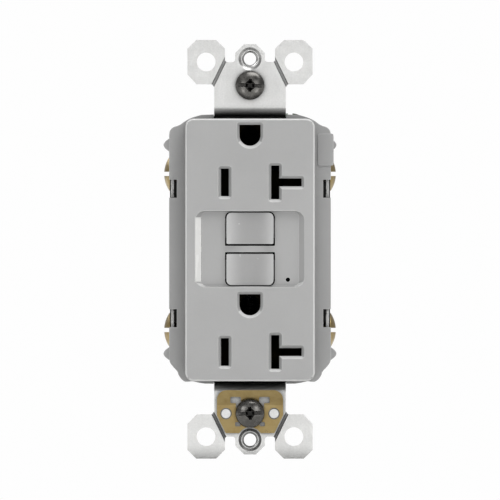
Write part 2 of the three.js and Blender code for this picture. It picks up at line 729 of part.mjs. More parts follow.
function addBoard() {
  add('circuit_board', alongY(symmetric(BOARD_OUTLINE), BOARD_FRONT, BOARD_REAR), board);
  const seat = BOARD_FRONT - GAP;
  add('controller_chip', box(-11.2, -7.6, 18.6, seat, 3, 8.5), chip);
  add('trip_thyristor', box(8.8, 11.6, 17.6, seat, 2, 7), chip);
  add('test_resistor', rodZ(8.6, 19.0, 1.0, -12, -5), bronze);
  add('filter_capacitor', box(7.8, 11.6, 12.4, seat, -21.5, -13.5), blueDip);
  add('varistor', rodX(15.6, -17.5, 4.0, -11.6, -7.8, 20), copper);
  add('status_led', box(-PIPE_X - 0.7, -PIPE_X + 0.7, 18.3, seat, -0.7, 0.7), lightGuide);
  const z = FAULT_HOLE[1];
  add('fault_led', box(PIPE_X - 0.7, PIPE_X + 0.7, 18.3, seat, z - 0.7, z + 0.7), lightGuide);
}

function addTransformers() {
  const z = 18.5;
  const ring = (y0, y1) => {
    const outside = joined(rodY(0, z, 6.4, y0, y1, 24));
    return toGeometry(cut(outside, rodY(0, z, 3.3, y0 - 1, y1 + 1)));
  };
  add('sensing_transformer_core', ring(12.0, 15.3), ferrite);
  add('neutral_transformer_core', ring(15.7, 19.0), ferrite);
  const cup = cut(
    joined(rodY(0, z, 7.4, 11.7, BOARD_FRONT - GAP, 24)),
    rodY(0, z, 6.7, 11, 19.4, 24),
  );
  const hub = cut(joined(rodY(0, z, 3.0, 11.7, 19.5, 20)), rodY(0, z, 2.3, 11, 20));
  add('transformer_housing', toGeometry(cut(cup.add(hub), rodY(0, z, 2.3, 11, 21))), innerPlastic);
}

// ---- trip mechanism ----

function addSolenoid() {
  const y = SOLENOID_Y;
  const ends = [[-30.0, -29.3], [-19.7, -19.0]];
  const bobbin = cut(
    joined(
      rodZ(0, y, 1.9, -30.0, -19.0),
      ...ends.map(([z0, z1]) => box(-3.4, 3.4, y - 3.4, y + 3.4, z0, z1)),
    ),
    rodZ(0, y, 1.6, -31, -18),
  );
  add('solenoid_bobbin', toGeometry(bobbin), innerPlastic);
  const coil = cut(joined(rodZ(0, y, 3.2, -29.0, -20.0, 20)), rodZ(0, y, 2.2, -30, -19));
  add('solenoid_coil', toGeometry(coil), copper);
  const frame = cut(
    joined(
      box(-3.4, 3.4, 12.7, 20.1, -31.1, -30.3),
      box(-3.4, 3.4, 12.7, 20.1, -18.7, -17.9),
      box(-3.4, 3.4, 19.7, 20.1, -31.1, -17.9),
    ),
    rodZ(0, y, 1.6, -19, -17),
  );
  add('solenoid_frame', toGeometry(frame), zincSteel);
  const plunger = joined(rodZ(0, y, 1.3, -28.5, -9.7), rodZ(0, y, 2.1, -12.4, -11.6));
  add('trip_plunger', toGeometry(plunger), darkSteel);
  const coilSpring = add('plunger_spring', spring(1.75, 0.15, 4.7, 5), zincSteel);
  coilSpring.rotation.set(Math.PI / 2, 0, 0);
  coilSpring.position.set(0, y, -17.45);
}

function addLatch() {
  const slotZ = RESET_STEM_Z;
  const block = cut(
    joined(
      box(-3.4, 3.4, 13.6, 17.6, -8.2, -2.0),
      box(-11.3, 11.3, 13.0, 14.4, -5.6, -3.6),
    ),
    box(-2.6, 2.6, 15.4, 16.6, -9, -1.9 - GAP),
    rodY(0, slotZ, 1.4, 12, 19),
  );
  add('latch_block', toGeometry(block), innerPlastic);
  const plate = cut(
    joined(box(-2.3, 2.3, 15.7, 16.3, -9.4, -3.5)),
    box(-1.3, 1.3, 15, 17, slotZ - 2.4, slotZ + 1.3),
  );
  add('latch_plate', toGeometry(plate), zincSteel);
}

function addResetPin() {
  const profile = [
    [0, -1.9], [0.8, -1.9], [0.8, 12.0], [1.0, 12.3], [1.0, 13.4], [0.7, 13.6], [0.7, 14.4],
    [1.0, 14.6], [1.0, 16.6], [0.5, 17.2], [0, 17.2],
  ];
  const pin = add('reset_pin', turned(profile, 12), darkSteel);
  pin.position.set(0, 0, RESET_STEM_Z);
}

function addButtonSpring(name, z) {
  const coil = add(name, spring(2.1, 0.22, 4.9, 5), zincSteel);
  coil.position.set(0, -2.5, z);
}

addCover();
addDishedButton('test_button', TEST_Z, TEST_STEM_Z, 11.9, 0);
addDishedButton('reset_button', RESET_Z, RESET_STEM_Z, 11.0, 1.05);
addLightPipes();
addHousing();
addStrap();
addClip();
addMountingScrew('mounting_screw_top', MOUNT_SCREW_Z, STRAP_FRONT - GAP);
addMountingScrew('mounting_screw_bottom', -MOUNT_SCREW_Z, -2.0 - GAP);
addRetainer('screw_retainer_top', MOUNT_SCREW_Z);
addRetainer('screw_retainer_bottom', -MOUNT_SCREW_Z);
for (const row of ['line', 'load']) {
  addTerminal(row, 'hot', -1);
  addTerminal(row, 'neutral', 1);
}
addGroundTerminal();
addAssemblyScrews();
addCarrier();
addHotStrip();
addNeutralStrip();
addGroundContact('ground_contact_upper', GROUND_Z[0]);
addGroundContact('ground_contact_lower', GROUND_Z[1]);
addBoard();
addTransformers();
addSolenoid();
addLatch();
addResetPin();
addButtonSpring('test_button_spring', TEST_STEM_Z);
addButtonSpring('reset_spring', RESET_STEM_Z);
addContactArm('hot_contact_arm', -1);
addContactArm('neutral_contact_arm', 1);
addTestLeaf();

export default outlet;
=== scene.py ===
import json
import math

import bmesh
import bpy
from mathutils import Matrix, Vector


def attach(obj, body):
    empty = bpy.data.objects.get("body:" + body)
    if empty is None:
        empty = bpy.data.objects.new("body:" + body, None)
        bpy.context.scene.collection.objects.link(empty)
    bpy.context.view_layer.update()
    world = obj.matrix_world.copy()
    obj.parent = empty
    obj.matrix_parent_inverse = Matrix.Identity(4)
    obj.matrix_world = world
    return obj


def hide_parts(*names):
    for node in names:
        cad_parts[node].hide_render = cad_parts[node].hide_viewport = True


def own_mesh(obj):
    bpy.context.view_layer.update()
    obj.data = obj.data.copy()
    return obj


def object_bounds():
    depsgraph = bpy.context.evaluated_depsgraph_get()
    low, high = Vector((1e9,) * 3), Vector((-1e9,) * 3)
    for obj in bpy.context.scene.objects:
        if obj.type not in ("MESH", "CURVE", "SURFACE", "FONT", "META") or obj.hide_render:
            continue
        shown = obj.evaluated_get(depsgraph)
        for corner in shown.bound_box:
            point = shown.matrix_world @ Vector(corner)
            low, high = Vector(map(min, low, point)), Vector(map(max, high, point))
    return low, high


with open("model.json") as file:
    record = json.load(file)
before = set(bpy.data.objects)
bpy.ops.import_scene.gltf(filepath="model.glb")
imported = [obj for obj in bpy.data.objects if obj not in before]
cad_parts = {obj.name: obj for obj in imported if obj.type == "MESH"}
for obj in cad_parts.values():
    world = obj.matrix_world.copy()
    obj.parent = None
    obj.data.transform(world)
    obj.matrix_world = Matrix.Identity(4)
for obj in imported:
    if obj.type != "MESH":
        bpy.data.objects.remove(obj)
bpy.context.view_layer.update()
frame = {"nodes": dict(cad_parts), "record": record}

nodes = frame["nodes"]

# Lengths below are in millimetres; meshes are scaled to metres as they are made.
MM = 0.001

# ---- driving dimensions, the same as the CAD's ----

FACE_FRONT = -7.6
FACE = (-16.45, 16.45, -33.5, 33.2)
FLANGE_FRONT = 0.8
FLANGE_INNER = 2.6
FLANGE_REAR = 4.4
HOUSING_FRONT = 4.6
HOUSING_FLOOR = 24.2
HOUSING_REAR = 26.0
BLADE_Z = (17.0, -26.1)
GROUND_Z = (28.97, -14.1)
STRAP_FRONT = -1.2
STRAP_THICK = 1.2
LEG_HALF = 9.11
LEG_INNER = 33.9
RUN_REAR = 4.1
MOUNT_SCREW_Z = 41.67
PLATE_SCREW_Z = 48.4
EAR_HOLE = (11.15, 47.6)
TERMINAL_Y = 9.8
TERMINAL_HEAD_BASE = 20.35
TERMINALS = {"line_hot": (-1, 19.16), "line_neutral": (1, 19.16),
             "load_hot": (-1, -20.5), "load_neutral": (1, -20.5)}
ASSEMBLY_SCREWS = ((-15.5, 28.6), (15.5, 28.6), (-15.5, -29.4), (15.5, -29.4))
FAULT_HOLE = (9.63, -7.72)
BUTTON_HALF = 5.97
TEST_BUTTON = (1.35, 9.3)
RESET_BUTTON = (-9.1, -1.17)
RECESS_DEPTH = 1.15
TEST_STEM_Z = 5.3
RESET_STEM_Z = -5.1
TEST_TRAVEL = 1.3
RESET_TRAVEL = 2.0
WINDOW_HALF = 6.35
TEST_WINDOW = (0.86, 9.55)
RESET_WINDOW = (-9.35, -0.71)
LIGHT_STRIP_X = (-13.95, -12.39)
LIGHT_STRIP_Z = (-8.28, 8.18)
STRIP_GAP = 0.05
NOTCHES = ((13.1, 17.7), (-19.8, -15.2))
STRAP_WAY_HALF = 9.2
LUG_Z = (26.5, -26.5)
CLIP_REAR = -1.5
CLIP_THICK = 0.5
CLIP_BOSS = (6.1, -41.75)
CLIP_FOLD_Z = -39.6
CLIP_LEAN = 0.3
THREAD_PITCH = 0.794
GROUND_SCREW = (10.2, 9.3)
GROUND_SEAT_Z = 32.9
SPRING_FRONT = -2.5
SPRING_LENGTH = 4.9
FACE_WALL = 2.0
PAD_Z = (21.3, 29.4)
NOTCH_INNER = 18.6
RUN_FRONT = 2.9
EAR_HOLE_R = 2.35
PLATE_COLLAR_R = 2.35
GROUND_PIN_WAY_R = 3.35
STEM_WAY_R = 1.7
GROUND_TAP_R = 1.9
CLIP_BOSS_R = 1.16
PLATE_X = (19.3, 20.05)
PLATE_Y = (5.3, 14.3)
PLATE_HALF = 6.0
POCKET_X = (14.4, 20.2)
POCKET_HALF = 7.4
HOLLOW_INNER = 15.6
HOLLOW_REAR = 15.8
HOLLOW_HALF = 6.3
WELD_DISTANCE = 1e-5

# ---- outlines in (x, z) ----


def arc(cx, cz, r, start, end, steps):
    """Points of an arc, angles in degrees."""
    out = []
    for i in range(steps + 1):
        a = math.radians(start + (end - start) * i / steps)
        out.append((cx + r * math.cos(a), cz + r * math.sin(a)))
    return out


def rounded(x0, x1, z0, z1, radii, steps=8):
    """A rectangle whose corners are rounded; radii go low-left, low-right, high-right, high-left."""
    if not isinstance(radii, tuple):
        radii = (radii,) * 4
    corners = ((x0, z0, 1, 1, 180), (x1, z0, -1, 1, 270), (x1, z1, -1, -1, 0), (x0, z1, 1, -1, 90))
    out = []
    for (x, z, sx, sz, start), r in zip(corners, radii):
        out += arc(x + sx * r, z + sz * r, r, start, start + 90, steps)
    return out


def circle(cx, cz, r, steps=48):
    return arc(cx, cz, r, 0, 360 - 360 / steps, steps - 1)


def both_sides(right_half):
    """Closes an outline that is the same on the left, from its right half, top to bottom."""
    return list(right_half) + [(-x, z) for x, z in reversed(right_half)]


def curve_through(points):
    """A smooth line through the points (Catmull-Rom)."""
    steps = 4
    pts = [Vector(p) for p in points]
    pts = [pts[0] * 2 - pts[1]] + pts + [pts[-1] * 2 - pts[-2]]
    out = []
    for a, b, c, d in zip(pts, pts[1:], pts[2:], pts[3:]):
        for i in range(steps):
            t = i / steps
            p = 0.5 * (2 * b + (c - a) * t + (2 * a - 5 * b + 4 * c - d) * t * t
                       + (3 * b - a - 3 * c + d) * t ** 3)
            out.append(tuple(p))
    return out + [tuple(pts[-2])]


def grown(points, d, steps=5):
    """The outline moved outward by d, with arcs at its outer corners. Each point gives steps + 1 points."""
    n = len(points)
    area = sum(points[i - 1][0] * points[i][1] - points[i][0] * points[i - 1][1] for i in range(n))
    pts = [Vector(p) for p in (points if area > 0 else reversed(points))]
    out = []
    for i in range(n):
        e0 = (pts[i] - pts[i - 1]).normalized()
        e1 = (pts[(i + 1) % n] - pts[i]).normalized()
        n0, n1 = Vector((e0.y, -e0.x)), Vector((e1.y, -e1.x))
        turn = math.atan2(e0.x * e1.y - e0.y * e1.x, e0.dot(e1))
        for k in range(steps + 1):
            if turn > 0:
                out.append(tuple(pts[i] + Matrix.Rotation(turn * k / steps, 2) @ n0 * d))
            else:
                out.append(tuple(pts[i] + (n0 + n1) * d / (1 + n0.dot(n1))))
    return out


def ground_hole(z):
    r = 2.55
    return [(r, z + r), (-r, z + r)] + arc(0, z, r, 180, 360, 18)


def hot_slot(z):
    return [(-7.25, z - 3.38), (-5.51, z - 3.38), (-5.51, z + 3.38), (-7.25, z + 3.38)]


def neutral_slot(z):
    return [(5.51, z - 4.15), (7.3, z - 4.15), (7.3, z - 0.88), (12.98, z - 0.88),
            (12.98, z + 0.88), (7.3, z + 0.88), (7.3, z + 4.15), (5.51, z + 4.15)]


SLOTS = ([ground_hole(z) for z in GROUND_Z] + [hot_slot(z) for z in BLADE_Z]
         + [neutral_slot(z) for z in BLADE_Z])

FLANGE_HALF = (
    [(9.5, 34.25)]
    + curve_through([(12.4, 34.15), (14.6, 33.5), (16.2, 32.75), (17.6, 31.75)])
    + curve_through([(18.4, 31.35), (19.5, 31.0), (20.3, 30.2), (20.55, 29.2)])
    + curve_through([(20.55, -27.7), (20.3, -28.8), (19.5, -29.9), (18.5, -31.0), (18.1, -32.0),
                     (17.5, -32.9), (16.6, -33.6), (15.6, -33.65), (14.6, -33.55), (13.0, -33.9),
                     (11.4, -34.15)])
    + [(9.5, -34.15)])
CAVITY_HALF = [(9.0, 32.6), (13.5, 32.3), (16.0, 30.9), (17.6, 30.1), (19.0, 28.8),
               (19.0, -27.6), (17.2, -30.4), (16.3, -32.0), (9.0, -32.5)]

# ---- mesh helpers ----


def finish_mesh(name, bm):
    bmesh.ops.remove_doubles(bm, verts=bm.verts, dist=WELD_DISTANCE)
    bmesh.ops.recalc_face_normals(bm, faces=bm.faces)
    for v in bm.verts:
        v.co *= MM
    mesh = bpy.data.meshes.new(name)
    bm.to_mesh(mesh)
    bm.free()
    obj = bpy.data.objects.new(name, mesh)
    bpy.context.scene.collection.objects.link(obj)
    return obj


def loft(name, rings):
    """A solid through rings of (x, y, z) points, capped at both ends."""
    bm = bmesh.new()
    rows = [[bm.verts.new(p) for p in ring] for ring in rings]
    for a, b in zip(rows, rows[1:]):
        for i in range(len(a)):
            j = (i + 1) % len(a)
            bm.faces.new((a[i], a[j], b[j], b[i]))
    bm.faces.new(rows[0])
    bm.faces.new(rows[-1])
    return finish_mesh(name, bm)


def at_depth(outline, y):
    """The ring that an outline in (x, z) makes at depth y."""
    return [(x, y, z) for x, z in outline]


def prism(name, outline, y0, y1):
    return loft(name, [at_depth(outline, y0), at_depth(outline, y1)])


def across(name, outline, x0, x1):
    """A prism along X from an outline in (y, z)."""
    return loft(name, [[(x, y, z) for y, z in outline] for x in (x0, x1)])


def block(name, x0, x1, y0, y1, z0, z1):
    x0, x1 = sorted((x0, x1))
    return prism(name, [(x0, z0), (x1, z0), (x1, z1), (x0, z1)], y0, y1)


def spun(name, profile, sides=64):
    """A round solid about the Y axis from (radius, y) points that start and end on the axis."""
    bm = bmesh.new()
    ends = [bm.verts.new((0, y, 0)) for _, y in (profile[0], profile[-1])]
    rows = []
    for r, y in profile[1:-1]:
        rows.append([bm.verts.new((r * math.cos(2 * math.pi * i / sides), y,
                                   r * math.sin(2 * math.pi * i / sides))) for i in range(sides)])
    for i in range(sides):
        j = (i + 1) % sides
        bm.faces.new((ends[0], rows[0][i], rows[0][j]))
        bm.faces.new((ends[1], rows[-1][j], rows[-1][i]))
        for a, b in zip(rows, rows[1:]):
            bm.faces.new((a[i], b[i], b[j], a[j]))
    return finish_mesh(name, bm)


def rod(name, x, z, r, y0, y1, sides=40):
    return prism(name, circle(x, z, r, sides), y0, y1)


def stood_up(obj):
    """Turns a solid that was made along Y so that it runs along Z."""
    return moved(obj, Matrix.Rotation(math.pi / 2, 4, "X"))


def moved(obj, matrix):
    obj.data.transform(matrix)
    return obj


def shifted(obj, x, y, z):
    return moved(obj, Matrix.Translation(Vector((x, y, z)) * MM))


def freeze(obj):
    """Replaces an object's mesh by what its modifiers make of it."""
    graph = bpy.context.evaluated_depsgraph_get()
    mesh = bpy.data.meshes.new_from_object(obj.evaluated_get(graph))
    old = obj.data
    obj.modifiers.clear()
    obj.data = mesh
    bpy.data.meshes.remove(old)
    return obj


def combine(obj, operation, others):
    for other in others:
        mod = obj.modifiers.new("combine", "BOOLEAN")
        mod.operation = operation
        mod.solver = "EXACT"
        mod.object = other
        freeze(obj)
        mesh = other.data
        bpy.data.objects.remove(other)
        bpy.data.meshes.remove(mesh)
    return obj


def cut(obj, *others):
    return combine(obj, "DIFFERENCE", others)


def join(obj, *others):
    return combine(obj, "UNION", others)


def smooth_by_angle(obj, angle):
    obj.data.shade_smooth()
    obj.data.set_sharp_from_angle(angle=math.radians(angle))


def soften(obj, width, segments=3, angle=32, rim=None):
    """Rounds the edges and keeps flat faces flat to the light; the rounded strips may take the second
    material, a painted highlight.
    """
    mod = obj.modifiers.new("edges", "BEVEL")
    if rim:
        mod.material = 1
    mod.width = width * MM
    mod.segments = segments
    mod.limit_method = "ANGLE"
    mod.angle_limit = math.radians(angle)
    mod.harden_normals = True
    smooth_by_angle(obj, 30)
    return obj


remade = set()


def place(obj, body, material, replaced, rim=None):
    """Gives a finished piece its looks, its body and the CAD node that it stands for."""
    remade.add(replaced)
    obj.name = f"{replaced}_fine"
    obj.data.materials.append(material)
    # the second material paints light or shade on the faces marked for it
    if rim:
        obj.data.materials.append(rim)
    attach(obj, body)
    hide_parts(replaced)
    return obj


# ---- materials ----


class Recipe:
    """Builds one material: a Principled shader with procedural inputs."""

    def __init__(self, name, color, roughness, metallic=0.0, specular=0.5):
        self.material = bpy.data.materials.new(name)
        self.material.use_nodes = True
        self.tree = self.material.node_tree
        self.shader = self.tree.nodes["Principled BSDF"]
        self.shader.inputs["Metallic"].default_value = metallic
        self.shader.inputs["Specular IOR Level"].default_value = specular
        self.shader.inputs["Roughness"].default_value = roughness
        self.shader.inputs["Base Color"].default_value = (*color, 1)
        self.place = self.tree.nodes.new("ShaderNodeTexCoord").outputs["Object"]

    def node(self, kind, **values):
        made = self.tree.nodes.new(kind)
        for key, value in values.items():
            setattr(made, key, value)
        return made

    def link(self, out, into):
        self.tree.links.new(out, into)

    def stretched(self, scale):
        mapping = self.node("ShaderNodeMapping")
        mapping.inputs["Scale"].default_value = scale
        self.link(self.place, mapping.inputs["Vector"])
        return mapping.outputs["Vector"]

    def noise(self, per_mm, detail=3.0, stretch=(1, 1, 1)):
        made = self.node("ShaderNodeTexNoise")
        made.inputs["Scale"].default_value = per_mm / MM
        made.inputs["Detail"].default_value = detail
        made.inputs["Roughness"].default_value = 0.55
        self.link(self.stretched(stretch), made.inputs["Vector"])
        return made.outputs["Fac"]

    def ramp(self, value, low, high, out_low, out_high):
        made = self.node("ShaderNodeMapRange")
        for key, number in zip(("From Min", "From Max", "To Min", "To Max"), (low, high, out_low, out_high)):
            made.inputs[key].default_value = number
        self.link(value, made.inputs["Value"])
        return made.outputs["Result"]

    def edge_mask(self, radius):
        """1 on edges that stand out or in, 0 on flat faces."""
        bevel = self.node("ShaderNodeBevel", samples=4)
        bevel.inputs["Radius"].default_value = radius * MM
        normal = self.node("ShaderNodeNewGeometry").outputs["Normal"]
        dot = self.node("ShaderNodeVectorMath", operation="DOT_PRODUCT")
        self.link(bevel.outputs["Normal"], dot.inputs[0])
        self.link(normal, dot.inputs[1])
        return self.ramp(dot.outputs["Value"], 0.995, 0.85, 0.0, 1.0)

    def hollow_mask(self, distance):
        """1 in the open, falling to 0 inside narrow holes."""
        made = self.node("ShaderNodeAmbientOcclusion", samples=6)
        made.inputs["Distance"].default_value = distance * MM
        return made.outputs["AO"]

    def mix_color(self, factor, a, b):
        made = self.node("ShaderNodeMix", data_type="RGBA")
        self.link(factor, made.inputs["Factor"])
        for value, socket in ((a, made.inputs["A"]), (b, made.inputs["B"])):
            if isinstance(value, tuple):
                socket.default_value = (*value, 1)
            else:
                self.link(value, socket)
        return made.outputs["Result"]

    def use_color(self, out):
        self.link(out, self.shader.inputs["Base Color"])

    def use_roughness(self, out):
        self.link(out, self.shader.inputs["Roughness"])

    def bump(self, *layers):
        """Layers of (height, strength, depth in mm), the coarsest first."""
        normal = None
        for height, strength, depth in layers:
            made = self.node("ShaderNodeBump")
            made.inputs["Strength"].default_value = strength
            made.inputs["Distance"].default_value = depth * MM
            self.link(height, made.inputs["Height"])
            if normal:
                self.link(normal, made.inputs["Normal"])
            normal = made.outputs["Normal"]
        self.link(normal, self.shader.inputs["Normal"])


def shade(color, factor):
    return tuple(c * factor for c in color)


# edge sets how light the painted highlight on edges is; reach and the hole limit set the painted shade near
# walls and in holes
def moulded_plastic(name, color, roughness=0.42, grain=3.2, grain_depth=0.012, edge=1.35,
                    hole_shade_limit=0.4, specular=0.45, reach=5, vary=0.07):
    """Spark-eroded moulding: fine grain, faint flow clouds, a painted highlight on edges, painted shade near
    walls and in holes.
    """
    r = Recipe(name, color, roughness, specular=specular)
    clouds = r.noise(0.06, detail=4)
    grains = r.noise(grain, detail=2)
    tone = r.mix_color(r.ramp(clouds, 0.3, 0.7, 0, 1), shade(color, 0.965), shade(color, 1.03))
    tone = r.mix_color(r.ramp(grains, 0.35, 0.65, 0, 0.1), tone, shade(color, 0.8))
    # painted highlight: lighter along edges
    tone = r.mix_color(r.edge_mask(0.45), tone, shade(color, edge))
    # painted shade: darker near walls and nearly black inside holes, from ambient occlusion
    openness = r.hollow_mask(reach)
    tone = r.mix_color(r.ramp(openness, 0.35, 1.0, 0.28, 0), tone, shade(color, 0.3))
    tone = r.mix_color(r.ramp(openness, 0.0, hole_shade_limit, 0, 1), shade(color, 0.03), tone)
    r.use_color(tone)
    r.use_roughness(r.ramp(r.noise(0.5, detail=5), 0.3, 0.7, roughness - vary, roughness + vary))
    r.bump((clouds, 0.03, 0.1), (grains, 0.35, grain_depth))
    return r.material


def plated_steel(name, color, roughness=0.34, hollow=(4, 0.3, 0.95, 0.25)):
    """Zinc plate over rolled sheet: fine streaks, cloudy passivation, a painted highlight on edges and
    painted shade in holes.
    """
    r = Recipe(name, color, roughness, metallic=1.0)
    clouds = r.noise(0.22, detail=6)
    spangle = r.noise(1.1, detail=3)
    streaks = r.noise(2.2, detail=4, stretch=(1, 1, 0.06))
    tone = r.mix_color(r.ramp(clouds, 0.32, 0.68, 0, 1), shade(color, 0.93), shade(color, 1.04))
    tone = r.mix_color(r.ramp(streaks, 0.4, 0.7, 0, 0.3), tone, shade(color, 0.88))
    tone = r.mix_color(r.ramp(r.noise(2.6, detail=1), 0.35, 0.65, 0, 0.35), tone, shade(color, 0.8))
    # painted highlight: lighter along edges
    tone = r.mix_color(r.edge_mask(0.2), tone, shade(color, 1.1))
    # painted shade: hollow gives the ambient-occlusion reach, its range and how dark holes are painted
    reach, shut, open_, dark = hollow
    tone = r.mix_color(r.ramp(r.hollow_mask(reach), shut, open_, 0, 1), shade(color, dark), tone)
    r.use_color(tone)
    r.use_roughness(r.ramp(spangle, 0.3, 0.7, roughness - 0.05, roughness + 0.1))
    r.bump((clouds, 0.06, 0.3), (streaks, 0.12, 0.02), (spangle, 0.06, 0.02))
    return r.material


def brass_sheet(name, color, roughness=0.33, streak=(0.08, 1, 1), hollow=(4, 0.05, 0.7, 0.2)):
    """Rolled brass with drawing streaks, a thin brown tarnish, a painted highlight on edges and painted
    shade in holes.
    """
    r = Recipe(name, color, roughness, metallic=1.0)
    tarnish = r.noise(0.35, detail=7)
    streaks = r.noise(2.4, detail=4, stretch=streak)
    brown = shade((color[0], color[1] * 0.9, color[2] * 0.75), 0.72)
    tone = r.mix_color(r.ramp(tarnish, 0.42, 0.72, 0, 0.7), color, brown)
    tone = r.mix_color(r.ramp(streaks, 0.42, 0.7, 0, 0.25), tone, shade(color, 0.8))
    # painted highlight: lighter along edges
    tone = r.mix_color(r.edge_mask(0.15), tone, shade(color, 1.2))
    # painted shade: hollow gives the ambient-occlusion reach, its range and how dark holes are painted
    reach, shut, open_, dark = hollow
    tone = r.mix_color(r.ramp(r.hollow_mask(reach), shut, open_, 0, 1), shade(color, dark), tone)
    r.use_color(tone)
    r.use_roughness(r.ramp(tarnish, 0.3, 0.75, roughness - 0.06, roughness + 0.16))
    r.bump((tarnish, 0.05, 0.1), (streaks, 0.15, 0.015))
    return r.material


def dark_screw_steel(name, color, roughness=0.3):
    """Blackened steel with smears and specks, a painted highlight on edges and painted shade in recesses."""
    r = Recipe(name, color, roughness, metallic=0.9)
    smears = r.noise(0.8, detail=6)
    specks = r.noise(4.0, detail=2)
    tone = r.mix_color(r.ramp(smears, 0.35, 0.7, 0, 1), shade(color, 0.8), shade(color, 1.35))
    # painted highlight: much lighter along edges
    tone = r.mix_color(r.edge_mask(0.12), tone, shade(color, 2.6))
    # painted shade: nearly black inside recesses, from ambient occlusion
    tone = r.mix_color(r.ramp(r.hollow_mask(1.5), 0.35, 0.95, 0, 1), shade(color, 0.04), tone)
    r.use_color(tone)
    r.use_roughness(r.ramp(smears, 0.3, 0.7, roughness - 0.08, roughness + 0.14))
    r.bump((smears, 0.1, 0.05), (specks, 0.12, 0.01))
    return r.material


def milky_plastic(name, color):
    """Clear moulding over a white diffuser, seen as a soft white."""
    r = Recipe(name, color, 0.28, specular=0.5)
    r.shader.inputs["Subsurface Weight"].default_value = 0.25
    r.shader.inputs["Subsurface Radius"].default_value = (1.0, 1.0, 1.0)
    r.shader.inputs["Subsurface Scale"].default_value = 1.2 * MM
    r.shader.inputs["Coat Weight"].default_value = 0.4
    r.shader.inputs["Coat Roughness"].default_value = 0.12
    ripples = r.noise(0.5, detail=3, stretch=(1, 1, 0.3))
    tone = r.mix_color(r.ramp(ripples, 0.3, 0.7, 0, 1), shade(color, 0.97), shade(color, 1.02))
    # painted shade: darker along edges
    tone = r.mix_color(r.edge_mask(0.15), tone, shade(color, 0.93))
    r.use_color(tone)
    r.use_roughness(r.ramp(ripples, 0.3, 0.7, 0.22, 0.34))
    r.bump((ripples, 0.08, 0.1))
    return r.material


def pressed_fibre(name, color):
    r = Recipe(name, color, 0.8, specular=0.2)
    fibres = r.noise(1.6, detail=6, stretch=(1, 1, 0.25))
    tone = r.mix_color(r.ramp(fibres, 0.3, 0.7, 0, 1), shade(color, 0.7), shade(color, 1.25))
    # painted highlight: lighter along edges
    tone = r.mix_color(r.edge_mask(0.2), tone, shade(color, 1.4))
    r.use_color(tone)
    r.use_roughness(r.ramp(fibres, 0.3, 0.7, 0.7, 0.9))
    r.bump((fibres, 0.5, 0.06))
    return r.material


def solder_mask(name, color):
    """Green lacquer over copper tracks."""
    r = Recipe(name, color, 0.5, specular=0.08)
    tracks = r.node("ShaderNodeTexVoronoi", feature="DISTANCE_TO_EDGE")
    tracks.inputs["Scale"].default_value = 0.35 / MM
    r.link(r.stretched((1, 1, 1)), tracks.inputs["Vector"])
    mask = r.ramp(tracks.outputs["Distance"], 0.04, 0.09, 1, 0)
    tone = r.mix_color(mask, color, shade(color, 1.9))
    # painted shade: nearly black where ambient occlusion is low
    tone = r.mix_color(r.ramp(r.hollow_mask(25), 0.2, 0.9, 0, 1), shade(color, 0.02), tone)
    r.use_color(tone)
    r.use_roughness(r.ramp(r.noise(1.0), 0.3, 0.7, 0.5, 0.65))
    r.bump((mask, 0.4, 0.04), (r.noise(3.0), 0.1, 0.01))
    return r.material


def wound_copper(name, color):
    """Turns of enamelled wire that lie side by side along Z."""
    r = Recipe(name, color, 0.28, metallic=1.0)
    turns = r.node("ShaderNodeTexWave", wave_type="BANDS", bands_direction="Z")
    turns.inputs["Scale"].default_value = 0.8 / MM
    turns.inputs["Distortion"].default_value = 0.2
    r.link(r.place, turns.inputs["Vector"])
    # painted shade: each band darkens between turns, as shade on round wire
    tone = r.mix_color(turns.outputs["Fac"], shade(color, 0.35), color)
    r.use_color(tone)
    r.use_roughness(r.ramp(r.noise(1.5), 0.3, 0.7, 0.2, 0.4))
    r.bump((turns.outputs["Fac"], 0.8, 0.08))
    return r.material


